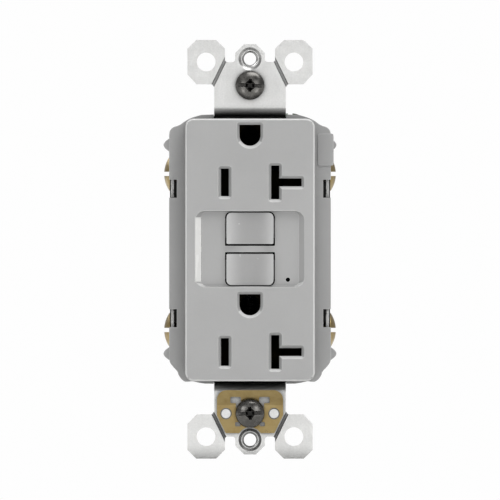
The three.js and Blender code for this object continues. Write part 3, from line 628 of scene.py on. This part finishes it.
COVER_GREY = (0.295, 0.295, 0.294)
HOUSING_GREY = (0.27, 0.27, 0.269)
CLIP_BRASS = (0.325, 0.246, 0.112)
looks = {
    "cover_plastic": moulded_plastic("cover_plastic", COVER_GREY),
    "button_plastic": moulded_plastic("button_plastic", shade(COVER_GREY, 0.8), roughness=0.27,
                                      grain_depth=0.001, specular=0.9, vary=0.004, edge=1.0),
    # lighter copy of the cover plastic: a painted highlight on edges and rims
    "cover_painted_highlight": moulded_plastic("cover_painted_highlight", shade(COVER_GREY, 1.65), roughness=0.35, grain_depth=0.004,
                                 edge=1.05),
    "housing_plastic": moulded_plastic("housing_plastic", HOUSING_GREY, roughness=0.52, grain=2.4,
                                       grain_depth=0.03),
    # dark copy of the housing plastic: painted shade
    "well_painted_shade": moulded_plastic("well_painted_shade", shade(HOUSING_GREY, 0.3), roughness=0.6, grain=2.4,
                                    grain_depth=0.03, reach=14, specular=0.1),
    # near-black plastic for parts inside; ambient occlusion paints shade nearly black in holes
    "inner_plastic": moulded_plastic("inner_plastic", (0.016, 0.016, 0.017), roughness=0.85, hole_shade_limit=0.9,
                                     reach=25, specular=0.03),
    "chip_black": moulded_plastic("chip_black", (0.015, 0.015, 0.016), roughness=0.45, grain=6),
    "zinc_steel": plated_steel("zinc_steel", (0.70, 0.70, 0.692)),
    # darker copy of the zinc, nearly black in holes: painted shade
    "strap_painted_shade": plated_steel("strap_painted_shade", (0.48, 0.48, 0.475), hollow=(25, 0.2, 0.9, 0.01)),
    "core": plated_steel("core", (0.08, 0.08, 0.085), roughness=0.5),
    "dark_steel": dark_screw_steel("dark_steel", (0.095, 0.092, 0.087), roughness=0.22),
    "green_steel": dark_screw_steel("green_steel", (0.10, 0.13, 0.10), roughness=0.36),
    "brass": brass_sheet("brass", CLIP_BRASS),
    # darker copy of the clip brass: painted shade
    "brass_painted_shade": brass_sheet("brass_painted_shade", shade(CLIP_BRASS, 0.8)),
    # copies for parts inside: painted shade, nearly black where ambient occlusion is low; the steel is also
    # darker than the zinc outside
    "inner_brass_painted_shade": brass_sheet("inner_brass_painted_shade", (0.40, 0.30, 0.135), hollow=(25, 0.2, 0.9, 0.01)),
    "inner_steel_painted_shade": plated_steel("inner_steel_painted_shade", (0.5, 0.5, 0.495), hollow=(25, 0.2, 0.9, 0.01)),
    "brass_screw": brass_sheet("brass_screw", (0.36, 0.275, 0.125), roughness=0.3, streak=(1, 1, 1)),
    "bronze": brass_sheet("bronze", (0.5, 0.27, 0.12)),
    "copper": wound_copper("copper", (0.6, 0.2, 0.07)),
    "light_guide": milky_plastic("light_guide", (0.59, 0.59, 0.58)),
    "fibre": pressed_fibre("fibre", (0.30, 0.20, 0.11)),
    "board": solder_mask("board", (0.02, 0.12, 0.045)),
    "blue_dip": milky_plastic("blue_dip", (0.02, 0.07, 0.2)),
}

# ---- cover ----


def face_block():
    """The face's block with a rounded front edge."""
    x0, x1, z0, z1 = FACE
    corner, edge, steps = 2.2, 0.5, 6
    rings = [at_depth(rounded(x0, x1, z0, z1, corner, 10), FLANGE_INNER)]
    for i in range(steps + 1):
        a = math.pi / 2 * i / steps
        inset = edge * (1 - math.cos(a))
        outline = rounded(x0 + inset, x1 - inset, z0 + inset, z1 - inset, corner - inset, 10)
        rings.append(at_depth(outline, FACE_FRONT + edge * (1 - math.sin(a))))
    return loft("front_cover", rings)


def funnel(outline):
    """Cutter for a slot: a wide mouth that slopes in to the slot, then straight through."""
    mouth, throat, slope = 0.86, 0.12, 0.72
    return loft("funnel", [
        at_depth(grown(outline, mouth), FACE_FRONT - 0.1),
        at_depth(grown(outline, mouth - 0.02), FACE_FRONT),
        at_depth(grown(outline, throat + 0.04), FACE_FRONT + slope),
        at_depth(grown(outline, throat), FACE_FRONT + slope + 0.1),
        at_depth(grown(outline, throat), 6),
    ])


def recess_cutter():
    """The centre recess: steep at top and bottom, with wide slopes at the left and right."""
    top = rounded(-13.97, 13.85, -9.53, 9.73, 2.4, 10)
    floor = rounded(-12.37, 12.45, -9.33, 9.53, 1.3, 10)
    return loft("recess", [
        at_depth(top, FACE_FRONT - 0.3),
        at_depth(top, FACE_FRONT),
        at_depth(floor, FACE_FRONT + RECESS_DEPTH),
    ])


def side_lug(side, z):
    """Small snap lug on the flange's long edge, with a rounded nose."""
    points = [(side * 20.3, z - 1.75)] + [(side * x, zz) for x, zz in curve_through(
        [(20.75, z - 1.5), (21.6, z - 0.8), (21.98, z), (21.6, z + 0.8), (20.75, z + 1.5)])]
    points.append((side * 20.3, z + 1.75))
    return prism("lug", points, 1.4, FLANGE_REAR)


def make_cover():
    """Face and flange, hollow behind, with lips inside that close the view through the notches."""
    cover = face_block()
    flange = prism("flange", both_sides(FLANGE_HALF), FLANGE_FRONT, FLANGE_REAR)
    room = prism("room", both_sides(CAVITY_HALF), FLANGE_INNER, FLANGE_REAR + 1)
    inner = FACE_FRONT + FACE_WALL
    x0, x1, z0, z1 = FACE
    wall = 1.55
    hollow = prism("hollow", rounded(x0 + wall, x1 - wall, z0 + wall, z1 - wall, 1.0, 3),
                   inner, FLANGE_REAR + 1)
    notches = [block("notch", side * NOTCH_INNER, side * 22, -0.2, FLANGE_REAR + 1, *span)
               for side in (-1, 1) for span in NOTCHES]
    step = [block("strap way", -STRAP_WAY_HALF, STRAP_WAY_HALF, 0.3, FLANGE_REAR + 1, *span)
            for span in ((z1 + 0.1, 40), (-40, z0 - 0.1))]
    under = [block("strap way", -STRAP_WAY_HALF, STRAP_WAY_HALF, FLANGE_INNER, FLANGE_REAR + 1, *span)
             for span in ((31, 40), (-40, -31))]
    lugs = [side_lug(side, z) for side in (-1, 1) for z in LUG_Z]
    pad = prism("pad", rounded(17.3, 21.2, *PAD_Z, 0.4, 4), FLANGE_FRONT - 0.25, FLANGE_INNER)
    join(cover, flange, pad, *lugs)
    cut(cover, room, hollow, *notches, *step, *under)
    lips = [block("side lip", side * 18.0, side * NOTCH_INNER, FLANGE_INNER - 0.4, 5.1, z - 6.0, z + 6.0)
            for side, z in TERMINALS.values()]
    lips += [block("side lip", side * 16.9, side * 17.4, FLANGE_INNER - 0.4, 5.4, -12.4, 11.6)
             for side in (-1, 1)]
    join(cover, *lips)
    wells = [prism("well", grown(outline, 1.1, 3), inner - 0.1, 2.5) for outline in SLOTS]
    join(cover, *wells)
    join(cover, *[rod("boss", x, z, 1.8, FLANGE_INNER - 0.8, 7.9, 24) for x, z in ASSEMBLY_SCREWS])
    cut(cover, *[rod("pilot", x, z, 1.1, 2.9, 9, 20) for x, z in ASSEMBLY_SCREWS])
    cut(cover, recess_cutter())
    cut(cover, *[funnel(outline) for outline in SLOTS])
    cut(cover,
        prism("test way", rounded(-WINDOW_HALF, WINDOW_HALF, *TEST_WINDOW, (0.25, 0.25, 1.5, 1.5)),
              -9, inner + 1),
        prism("reset way", rounded(-WINDOW_HALF, WINDOW_HALF, *RESET_WINDOW, (1.5, 1.5, 0.25, 0.25)),
              -9, inner + 1),
        prism("light way", rounded(LIGHT_STRIP_X[0] - STRIP_GAP, LIGHT_STRIP_X[1] + STRIP_GAP,
                                   LIGHT_STRIP_Z[0] - STRIP_GAP, LIGHT_STRIP_Z[1] + STRIP_GAP, 0.25, 3),
              -9, inner + 1),
        rod("fault way", *FAULT_HOLE, 0.55, -9, inner + 1, 32))
    # painted highlight: faces on the face's rounded edge and on the recess's lower slope take the second,
    # lighter material
    edge = 0.6  # the face's rounded edge and the recess's lower slope catch the light
    for face in cover.data.polygons:
        at = face.center / MM
        near_side = abs(at.x) > x1 - edge or at.z > z1 - edge or at.z < z0 + edge
        front_edge = near_side and at.y < FACE_FRONT + 0.5 and face.normal.y > -0.98
        lower_slope = face.normal.z > 0.4 and FACE_FRONT < at.y < FACE_FRONT + 0.75
        if front_edge or lower_slope:
            face.material_index = 1
    soften(cover, 0.2, segments=2, rim=True)
    place(cover, "housing", looks["cover_plastic"], "front_cover", looks["cover_painted_highlight"])


def make_buttons():
    """Each button's front is dished from side to side, as a drum would cut it."""
    drum_r, dish = 24, 0.76
    for name, (z0, z1), radii, stem_z in (
            ("test_button", TEST_BUTTON, (0.3, 0.3, 1.25, 1.25), TEST_STEM_Z),
            ("reset_button", RESET_BUTTON, (1.25, 1.25, 0.3, 0.3), RESET_STEM_Z)):
        front = FACE_FRONT + 0.1
        body = prism(name, rounded(-BUTTON_HALF, BUTTON_HALF, z0, z1, radii), front, -3.0)
        drum = stood_up(rod("drum", 0, 0, drum_r, z0 - 1, z1 + 1, 720))
        cut(body, shifted(drum, 0, front + dish - drum_r, 0))
        lip = block("lip", -7, 7, -5.2, -4.4, z0 + 1.5, z1 - 1.5)
        join(body, lip, rod("stem", 0, stem_z, 1.2, -3.1, 11, 24))
        # painted highlight: the button's rounded rims take the lighter material
        soften(body, 0.2, segments=3, angle=28, rim=True)
        place(body, name, looks["button_plastic"], name, looks["cover_painted_highlight"])


def make_light_pipe():
    """The light strip follows the slope of the recess's left side."""
    (left, right), rear = LIGHT_STRIP_X, -3.4
    slope = [(left, FACE_FRONT + 0.08), (right, FACE_FRONT + RECESS_DEPTH + 0.02),
             (right, rear), (left, rear)]
    pipe = loft("status_light_pipe", [[(x, y, z) for x, y in slope] for z in LIGHT_STRIP_Z])
    join(pipe, rod("guide", -12.9, 0, 0.75, rear - 0.2, 17.9, 24))
    soften(pipe, 0.12)
    place(pipe, "housing", looks["light_guide"], "status_light_pipe")


# ---- strap, clip and fixing screws ----


def strap_end(end):
    """Flat end of the strap with its two ears and the tapped tab."""
    half = [(1.5, 52.14), (3.8, 49.9), (3.8, 48.3)]
    half += arc(4.5, 48.3, 0.7, 180, 270, 4)[1:] + arc(5.75, 48.2, 0.6, 270, 360, 4)
    half += [(6.35, 51.0), (8.61, 53.2), (13.67, 53.2), (15.93, 51.0), (15.93, 44.4), (13.57, 41.9),
             (9.66, 41.9), (LEG_HALF, 41.2), (LEG_HALF, 37.0)]
    return prism("strap end", [(x, end * z) for x, z in both_sides(half)], STRAP_FRONT, 0)


def strap_bend(end):
    """The sheet turns back into the outlet with a pressed bend."""
    outer, t = 2.5, STRAP_THICK
    low = LEG_INNER
    path = [(STRAP_FRONT, 38.0)]
    path += [(STRAP_FRONT + outer - outer * math.cos(a), low + outer - outer * math.sin(a))
             for a in [math.pi / 2 * i / 12 for i in range(13)]]
    path += [(RUN_REAR, low), (RUN_REAR, low + t)]
    inner = outer - t
    path += [(STRAP_FRONT + outer - inner * math.cos(a), low + outer - inner * math.sin(a))
             for a in [math.pi / 2 * (12 - i) / 12 for i in range(13)]]
    path += [(0, 38.0)]
    return across("strap bend", [(y, end * z) for y, z in path], -LEG_HALF, LEG_HALF)


SCORE_LINE = Vector((6.2, 48.3)), Vector((9.6, 41.3))


def score_groove(side, end):
    """Groove where an ear snaps off, narrower at its floor."""
    a, b = SCORE_LINE
    run = (b - a).normalized()
    a, b = a - run * 0.6, b + run * 0.6
    wide = Vector((run.y, -run.x)) * 0.5
    rings = []
    for p in (a, b):
        ring = [(p - wide, -1.35), (p + wide, -1.35), (p + wide * 0.6, -0.6), (p - wide * 0.6, -0.6)]
        rings.append([(side * q.x, y, end * q.y) for q, y in ring])
    return loft("score", rings)


def collar_cutter(end):
    """Rolled lip of the wall-plate hole: a shallow ring, a round funnel and the tapped hole."""
    profile = [(0, -1.6), (2.92, -1.6), (2.92, -1.19), (2.32, -0.7), (2.2, -0.72), (2.05, -0.7),
               (1.88, -0.5), (1.78, -0.1), (1.75, 0.4), (1.58, 0.55), (1.58, 2.0), (0, 2.0)]
    return shifted(spun("collar_way", profile, 64), 0, 0, end * PLATE_SCREW_Z)


def fixing_way(end, y0, y1):
    """Cutter for the oblong hole in which a mounting screw shifts from side to side."""
    z = end * MOUNT_SCREW_Z
    return prism("screw way", rounded(-3.5, 3.5, z - 2.1, z + 2.1, 2.0), y0, y1)


def make_strap():
    """Two flat ends joined by a run inside the outlet; the run, grooves and collars take a darker zinc as
    painted shade.
    """
    strap = strap_end(1)
    join(strap, strap_end(-1), strap_bend(1), strap_bend(-1))
    run = [(LEG_HALF, 34.6), (LEG_HALF, 32.0), (6.6, 30.9), (6.6, 26.0), (3.9, 24.6), (3.9, -9.9),
           (6.0, -11.0), (6.0, -17.2), (3.9, -18.6), (3.9, -31.4), (LEG_HALF, -32.2), (LEG_HALF, -34.6)]
    join(strap, prism("run", both_sides(run), RUN_FRONT, RUN_REAR))
    join(strap,
         block("tab", 6.0, 12.7, RUN_FRONT, RUN_REAR, 27.9, 30.1),
         block("tab", 7.4, 12.7, RUN_FRONT, 13.6, 28.9, 30.1))
    join(strap, *[rod("collar", 0, end * PLATE_SCREW_Z, PLATE_COLLAR_R, -0.3, 1.4) for end in (1, -1)])
    boss_x, boss_z = CLIP_BOSS
    join(strap, *[rod("boss", side * boss_x, boss_z, CLIP_BOSS_R, -2.1, -1.1, 32) for side in (-1, 1)])
    holes = [rod("pin way", 0, z, GROUND_PIN_WAY_R, 2, 5, 48) for z in GROUND_Z]
    holes += [rod("stem way", 0, z, STEM_WAY_R, 2, 5, 32) for z in (TEST_STEM_Z, RESET_STEM_Z)]
    for end in (1, -1):
        holes.append(fixing_way(end, -2, 1))
        holes.append(collar_cutter(end))
        for side in (-1, 1):
            holes.append(rod("ear hole", side * EAR_HOLE[0], end * EAR_HOLE[1], EAR_HOLE_R, -2, 1, 64))
            holes.append(score_groove(side, end))
    tap = stood_up(rod("ground tap", 0, 0, GROUND_TAP_R, -1.5, 1.5, 32))
    holes.append(shifted(tap, *GROUND_SCREW, 29.5))
    cut(strap, *holes)
    a, b = SCORE_LINE
    across_score = Vector((b.y - a.y, a.x - b.x)).normalized()
    # painted shade: the run inside, the score grooves and the collar funnels take the darker zinc
    for face in strap.data.polygons:
        at = face.center / MM
        sunk = at.y > STRAP_FRONT + 0.05
        off_score = abs((Vector((abs(at.x), abs(at.z))) - a).dot(across_score))
        in_score = sunk and at.y < -0.4 and off_score < 0.55 and a.x - 0.8 < abs(at.x) < b.x + 0.8
        from_collar = math.hypot(at.x, abs(at.z) - PLATE_SCREW_Z)
        in_collar = sunk and 2.25 < from_collar < 2.95
        if abs(at.z) < LEG_INNER or in_score or in_collar:
            face.material_index = 1
    soften(strap, 0.06, segments=2, angle=40)
    place(strap, "housing", looks["zinc_steel"], "mounting_strap", looks["strap_painted_shade"])


def make_clip():
    """Brass clip: above its fold it leans off the strap and takes a darker copy of the brass as painted
    shade.
    """
    half = [(6.0, -35.8)] + arc(6.0, -38.2, 2.4, 80, 0, 8) + [(8.4, -42.2), (6.2, -46.7)]
    outline = both_sides(half)
    clip = prism("self_grounding_clip", outline, CLIP_REAR - CLIP_THICK, CLIP_REAR)
    holes = [fixing_way(-1, -3, 0)]
    boss_x, boss_z = CLIP_BOSS
    holes += [rod("way", side * boss_x, boss_z, CLIP_BOSS_R + 0.3, -3, 0, 40) for side in (-1, 1)]
    holes.append(rod("collar room", 0, -PLATE_SCREW_Z, 3.2, -3, 0, 48))
    for side in (-1, 1):
        holes.append(prism("way", rounded(*sorted((side * 2.3, side * 5.0)), -39.1, -37.5, 0.3, 3), -3, 0))
        holes.append(block("way", side * 2.9, side * 3.6, -3, 0, -40.6, -38.9))
        holes.append(prism("way", rounded(*sorted((side * 2.4, side * 3.8)), -45.0, -43.9, 0.3, 3), -3, 0))
    cut(clip, *holes)
    bm = bmesh.new()
    bm.from_mesh(clip.data)
    for step in range(4):
        geometry = bm.verts[:] + bm.edges[:] + bm.faces[:]
        level = (0, 0, (CLIP_FOLD_Z + step) * MM)
        bmesh.ops.bisect_plane(bm, geom=geometry, plane_co=level, plane_no=(0, 0, 1))
    for v in bm.verts:
        up = max(0.0, v.co.z / MM - CLIP_FOLD_Z)
        v.co.y -= CLIP_LEAN * up * MM
    # painted shade: faces above the fold take the darker brass
    for face in bm.faces:
        face.material_index = int(face.calc_center_median().z / MM > CLIP_FOLD_Z)
    bm.to_mesh(clip.data)
    bm.free()
    soften(clip, 0.07, segments=2)
    place(clip, "housing", looks["brass"], "self_grounding_clip", looks["brass_painted_shade"])


def thread(r, y0, y1, pitch, depth):
    """Profile points of a screw's thread, as rings."""
    out = []
    y = y0
    while y + pitch < y1:
        out += [(r - depth, y), (r, y + pitch * 0.45), (r, y + pitch * 0.55), (r - depth, y + pitch * 0.98)]
        y += pitch
    return out


def make_mounting_screws():
    """Domed heads with a slot and a cross recess, on long threaded shanks."""
    r, h, shank = 3.7, 2.1, 1.75
    for name, body, end, seat in (
            ("mounting_screw_top", "fixing_screw_top", 1, -1.5),
            ("mounting_screw_bottom", "fixing_screw_bottom", -1, -2.3)):
        dome = [(r * math.sin(a), -h + 1.55 * (1 - math.cos(a))) for a in
                [math.pi / 2 * i / 12 for i in range(1, 13)]]
        profile = [(0, -h)] + dome + [(r, -0.35), (r - 0.1, -0.1), (r - 0.35, 0), (shank, 0)]
        profile += thread(shank, 0.5, 22.5, THREAD_PITCH, 0.28) + [(1.45, 22.8), (0.9, 23.8), (0, 24.0)]
        screw = spun(name, profile, 56)
        slot = block("slot", -5, 5, -h - 1, -h + 0.95, -0.52, 0.52)
        star = [loft("star", [
            [(x * c - z * s, y, x * s + z * c) for x, z in ((-w, -0.42), (w, -0.42), (w, 0.42), (-w, 0.42))]
            for y, w in ((-h - 0.2, 1.9), (-h + 1.9, 0.55))]) for c, s in ((1, 0), (0, 1))]
        diamond = loft("diamond", [[(w, y, 0), (0, y, w), (-w, y, 0), (0, y, -w)]
                                   for w, y in ((2.0, -h - 0.1), (0.35, -h + 1.35))])
        cut(screw, slot, diamond, *star)
        moved(screw, Matrix.Rotation(math.radians(3 * end), 4, "Y"))
        shifted(screw, 0, seat, end * MOUNT_SCREW_Z)
        soften(screw, 0.07, segments=2, angle=38)
        place(screw, body, looks["dark_steel"], name)


# ---- terminals ----


def turned_head(name, r, height, edge, shank, length, slot_width, slot_depth):
    """A domed, slotted terminal screw about the Y axis; its head's seat is at y = 0."""
    ball = (r * r + height * height) / (2 * height)
    span = math.asin(r / ball)
    dome = [(ball * math.sin(a), -edge - height + ball * (1 - math.cos(a)))
            for a in [span * i / 12 for i in range(1, 13)]]
    profile = [(0, -edge - height)] + dome + [(r, 0), (shank, 0)]
    profile += thread(shank, 0.2, length - 0.8, THREAD_PITCH, 0.3)
    profile += [(shank - 0.5, length - 0.2), (0, length)]
    screw = spun(name, profile, 56)
    top = -edge - height
    cut(screw, block("slot", -slot_width / 2, slot_width / 2, top - 1, top + slot_depth, -8, 8))
    return screw


def make_terminals():
    """Four side terminals, each a screw and its ribbed plate, and the ground terminal's screw."""
    for name, (side, z) in TERMINALS.items():
        screw = turned_head(f"{name}_screw", r=4.3, height=1.31, edge=0.15, shank=2.0, length=4.65,
                            slot_width=1.07, slot_depth=1.3)
        turn = Matrix.Rotation(side * math.pi / 2, 4, "Z") @ Matrix.Rotation(math.pi / 2, 4, "Y")
        shifted(moved(screw, turn), side * TERMINAL_HEAD_BASE, TERMINAL_Y, z)
        soften(screw, 0.06, segments=2, angle=38)
        place(screw, f"{name}_screw", looks["brass_screw"], f"{name}_screw")

        plate = block(f"{name}_pressure_plate", side * PLATE_X[0], side * PLATE_X[1], *PLATE_Y,
                      z - PLATE_HALF, z + PLATE_HALF)
        hole = rod("hole", 0, 0, 2.3, -3, 3, 40)
        cut(plate, shifted(moved(hole, Matrix.Rotation(math.pi / 2, 4, "Z")), side * 19.7, TERMINAL_Y, z))
        for dz in (-5.0, -4.2, 4.2, 5.0):
            cut(plate, block("rib gap", side * 19.2, side * 19.42, 5, 14.6, z + dz - 0.2, z + dz + 0.2))
        soften(plate, 0.12, segments=2)
        place(plate, f"{name}_clamp", looks["zinc_steel"], f"{name}_pressure_plate")

    screw = turned_head("ground_screw", r=3.1, height=0.9, edge=0.8, shank=1.6, length=4.0,
                        slot_width=1.17, slot_depth=1.0)
    shifted(moved(screw, Matrix.Rotation(-math.pi / 2, 4, "X")), *GROUND_SCREW, GROUND_SEAT_Z)
    soften(screw, 0.06, segments=2, angle=38)
    place(screw, "ground_screw", looks["green_steel"], "ground_screw")


# ---- rear housing ----


def housing_shell():
    """The body behind the flange, with a rounded back edge."""
    def ring(scale, y):
        return at_depth([(x * scale, z * scale) for x, z in both_sides(FLANGE_HALF)], y)
    steps, edge = 6, 1.4
    mean_half = 27  # turns an inset into a scale
    rings = [ring(0.99, HOUSING_FRONT)]
    for i in range(steps + 1):
        a = math.pi / 2 * i / steps
        inset = edge * (1 - math.cos(a))
        rings.append(ring(0.99 - inset / mean_half, HOUSING_REAR - edge * (1 - math.sin(a))))
    return loft("rear_housing", rings)


def make_housing():
    """Rear body with a pocket, a hollow and two wire holes for each terminal."""
    housing = housing_shell()
    cut(housing, prism("cavity", both_sides(CAVITY_HALF), HOUSING_FRONT - 1, HOUSING_FLOOR))
    blocks = [block("pocket", side * POCKET_X[0], side * POCKET_X[1], HOUSING_FRONT, 24.5,
                    z - POCKET_HALF, z + POCKET_HALF) for side, z in TERMINALS.values()]
    blocks += [rod("boss", x, z, 2.5, 8.2, HOUSING_FLOOR + 0.5, 32) for x, z in ASSEMBLY_SCREWS]
    blocks.append(block("ground block", 6.2, 13.9, HOUSING_FRONT, 15.6, 27.8, 33.2))
    blocks.append(prism("pad", rounded(18.5, 21.24, 21.3, 29.3, 0.7, 4), 5.5, 18))
    join(housing, *blocks)
    ways = []
    wire_hole = [(0, -15), (1.25, -15), (1.25, -1.1), (1.5, -0.5), (1.9, 0.4), (0, 0.4)]
    for side, z in TERMINALS.values():
        ways.append(block("hollow", side * HOLLOW_INNER, side * 23, HOUSING_FRONT - 1, HOLLOW_REAR,
                          z - HOLLOW_HALF, z + HOLLOW_HALF))
        ways.append(block("tip way", side * 14.3, side * 15.7, HOUSING_FRONT - 1, 12.2, z - 2.3, z + 2.3))
        ways.append(block("leg way", side * 14.3, side * 15.7, HOUSING_FRONT - 1, 13.7, z + 2.7, z + 5.5))
        for dz in (-3.6, 3.6):
            hole = spun("wire_way", wire_hole, 32)
            ways.append(shifted(hole, side * 17.3, HOUSING_REAR, z + dz))
        mid = side * 12.2
        ways.append(prism("gauge", rounded(mid - 0.5, mid + 0.5, z - 4.6, z + 4.6, 0.5, 5), 25.6, 27))
    for x, z in ASSEMBLY_SCREWS:
        ways.append(rod("clearance", x, z, 2.1, HOUSING_FRONT - 1, 8.2, 24))
        ways.append(rod("shank way", x, z, 1.7, 8, HOUSING_REAR + 1, 24))
        ways.append(rod("counterbore", x, z, 2.45, HOUSING_FLOOR, HOUSING_REAR + 1, 40))
    tip = stood_up(rod("tip way", 0, 0, GROUND_TAP_R, -1.5, 1.5, 32))
    ways.append(shifted(tip, *GROUND_SCREW, 27.5))
    ways.append(block("ground room", 7.1, 12.95, HOUSING_FRONT - 1, 14.2, 28.6, 31.5))
    ways.append(block("ground room", 6.8, 13.7, HOUSING_FRONT - 1, 14.2, 31.3, 36))
    ways.append(prism("data panel", rounded(-9.5, 9.5, -22, 22, 1.0), HOUSING_REAR - 0.35, 27))
    for side in (-1, 1):
        for z in (-6.0, -3.0, 0.0, 3.0, 6.0):
            ways.append(block("rib gap", side * 20.0, side * 21, 7.0, 23.0, z - 0.35, z + 0.35))
    cut(housing, *ways)
    # painted shade: the floors of the terminal hollows take the dark housing plastic
    for face in housing.data.polygons:
        at = face.center / MM
        hollow_floor = 15 < at.y < 16 and 15 < abs(at.x) < 21 and abs(face.normal.y) > 0.9
        if hollow_floor:
            face.material_index = 1
    soften(housing, 0.18, segments=2)
    place(housing, "housing", looks["housing_plastic"], "rear_housing",
          looks["well_painted_shade"])


def make_assembly_screws():
    """Screws from the rear, with a cross recess in each head."""
    shank, head = 1.35, 2.1
    for i, (x, z) in enumerate(ASSEMBLY_SCREWS):
        profile = [(0, 3.4), (0.9, 4.2)] + thread(shank, 4.4, 8.6, 0.9, 0.35)
        profile += [(shank, 9.4), (shank, 24.5), (head, 24.5), (head, 25.1), (1.7, 25.5), (0, 25.65)]
        screw = spun(f"assembly_screw_{i + 1}", profile, 40)
        star = [loft("star", [
            [(a * c - b * s, y, a * s + b * c) for a, b in ((-w, -0.25), (w, -0.25), (w, 0.25), (-w, 0.25))]
            for y, w in ((24.9, 0.3), (26.0, 1.25))]) for c, s in ((1, 0), (0, 1))]
        cut(screw, *star)
        shifted(screw, x, 0, z)
        soften(screw, 0.05, segments=2, angle=38)
        place(screw, "housing", looks["zinc_steel"], f"assembly_screw_{i + 1}")


def make_button_springs():
    """Coils behind the buttons, made at their rest length; the real coils shorten as a button goes in."""
    coil_r, wire_r, turns, around, sides = 2.1, 0.2, 5, 20, 8
    for name, joint, z, travel in (
            ("test_button_spring", "test_press", TEST_STEM_Z, TEST_TRAVEL),
            ("reset_spring", "reset_press", RESET_STEM_Z, RESET_TRAVEL)):
        rings = []
        for i in range(turns * around + 1):
            a = 2 * math.pi * i / around
            middle = SPRING_FRONT + SPRING_LENGTH * i / (turns * around)
            ring = []
            for k in range(sides):
                b = 2 * math.pi * k / sides
                r = coil_r + wire_r * math.cos(b)
                ring.append((r * math.cos(a), middle + wire_r * math.sin(b), z + r * math.sin(a)))
            rings.append(ring)
        coil = loft(name, rings)
        smooth_by_angle(coil, 60)
        place(coil, "housing", looks["inner_steel_painted_shade"], name)
        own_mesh(coil)


make_cover()
make_buttons()
make_button_springs()
make_light_pipe()
make_strap()
make_clip()
make_mounting_screws()
make_terminals()
make_housing()
make_assembly_screws()

# ---- CAD nodes that stay, with softened edges and their own finish; metal inside takes a copy with painted shade ----

ROUND_NODES = ("plunger_spring", "reset_pin", "varistor", "solenoid_coil", "test_resistor",
               "sensing_transformer_core", "neutral_transformer_core")
INNER_SHADED_LOOK = {"brass": "inner_brass_painted_shade", "bronze": "inner_brass_painted_shade", "zinc_steel": "inner_steel_painted_shade"}
slot_of = {row["node"]: row["material_slot"] for row in frame["record"]["subparts"]}
for name, obj in nodes.items():
    if name in remade:
        continue
    obj.data.materials.clear()
    # painted shade: the fault light pipe takes the near-black inner plastic, so its hole looks dark
    finish = "inner_plastic" if name == "fault_light_pipe" else slot_of[name]
    obj.data.materials.append(looks[INNER_SHADED_LOOK.get(finish, finish)])
    if name not in ROUND_NODES:
        edges = obj.modifiers.new("edges", "BEVEL")
        edges.width = 0.06 * MM
        edges.segments = 2
        edges.limit_method = "ANGLE"
        edges.angle_limit = math.radians(50)

# ---- camera, floor and light ----

FRAME_WIDTH = 0.12705
camera_data = bpy.data.cameras.new("camera")
camera_data.type = "ORTHO"
camera_data.ortho_scale = FRAME_WIDTH
camera = bpy.data.objects.new("camera", camera_data)
camera.location = (0, -0.6, -0.00018)
camera.rotation_euler = (math.pi / 2, 0, 0)
bpy.context.scene.collection.objects.link(camera)
bpy.context.scene.camera = camera


def studio_light(name, location, size, watts, target=(0, 0, 0)):
    data = bpy.data.lights.new(name, "AREA")
    data.shape = "RECTANGLE"
    data.size, data.size_y = size
    data.energy = watts
    light = bpy.data.objects.new(name, data)
    light.location = location
    light.rotation_euler = (Vector(target) - Vector(location)).to_track_quat("-Z", "Y").to_euler()
    bpy.context.scene.collection.objects.link(light)


studio_light("key", (0.22, -0.3, 0.74), (0.7, 0.5), 5.6)
studio_light("left", (-0.42, -0.8, 0.05), (0.3, 0.6), 1.0)
studio_light("right", (0.38, -0.85, 0.05), (0.35, 0.6), 1.3)
studio_light("front", (0, -1.0, 0.0), (0.35, 0.5), 0.26)
for side in (-1, 1):
    studio_light(f"near_{side}", (side * 0.05, -0.09, 0), (0.03, 0.03), 0.010, (side * 0.01, 0, 0))
studio_light("back", (-0.4, 0.6, 0.5), (0.5, 0.5), 4.0)


def make_floor():
    """Plain pale floor just under the object."""
    bm = bmesh.new()
    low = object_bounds()[0].z - 0.0001
    half = 1.5
    corners = ((-half, -half), (half, -half), (half, half), (-half, half))
    bm.faces.new([bm.verts.new((x, y, low)) for x, y in corners])
    mesh = bpy.data.meshes.new("floor")
    bm.to_mesh(mesh)
    bm.free()
    floor = bpy.data.objects.new("floor", mesh)
    bpy.context.scene.collection.objects.link(floor)
    r = Recipe("floor", (0.82, 0.82, 0.81), 0.7)
    r.bump((r.noise(0.05), 0.05, 0.5))
    mesh.materials.append(r.material)


def make_world():
    """White behind the object, with softer light on it than the backdrop shows."""
    world = bpy.data.worlds.new("world")
    bpy.context.scene.world = world
    world.use_nodes = True
    tree = world.node_tree
    soft = tree.nodes["Background"]
    soft.inputs["Color"].default_value = (1, 1, 1, 1)
    heading = tree.nodes.new("ShaderNodeSeparateXYZ")
    sky = tree.nodes.new("ShaderNodeMapRange")
    for key, number in (("From Min", -0.7), ("From Max", 0.7), ("To Min", 0.14), ("To Max", 0.58)):
        sky.inputs[key].default_value = number
    tree.links.new(tree.nodes.new("ShaderNodeTexCoord").outputs["Generated"], heading.inputs["Vector"])
    tree.links.new(heading.outputs["Z"], sky.inputs["Value"])
    tree.links.new(sky.outputs["Result"], soft.inputs["Strength"])
    white = tree.nodes.new("ShaderNodeBackground")
    white.inputs["Color"].default_value = (0.99, 0.99, 0.99, 1)
    white.inputs["Strength"].default_value = 1.0
    ray = tree.nodes.new("ShaderNodeLightPath")
    mix = tree.nodes.new("ShaderNodeMixShader")
    tree.links.new(ray.outputs["Is Camera Ray"], mix.inputs["Fac"])
    tree.links.new(soft.outputs["Background"], mix.inputs[1])
    tree.links.new(white.outputs["Background"], mix.inputs[2])
    tree.links.new(mix.outputs["Shader"], tree.nodes["World Output"].inputs["Surface"])


make_floor()
make_world()
bpy.context.scene.view_settings.view_transform = "Standard"
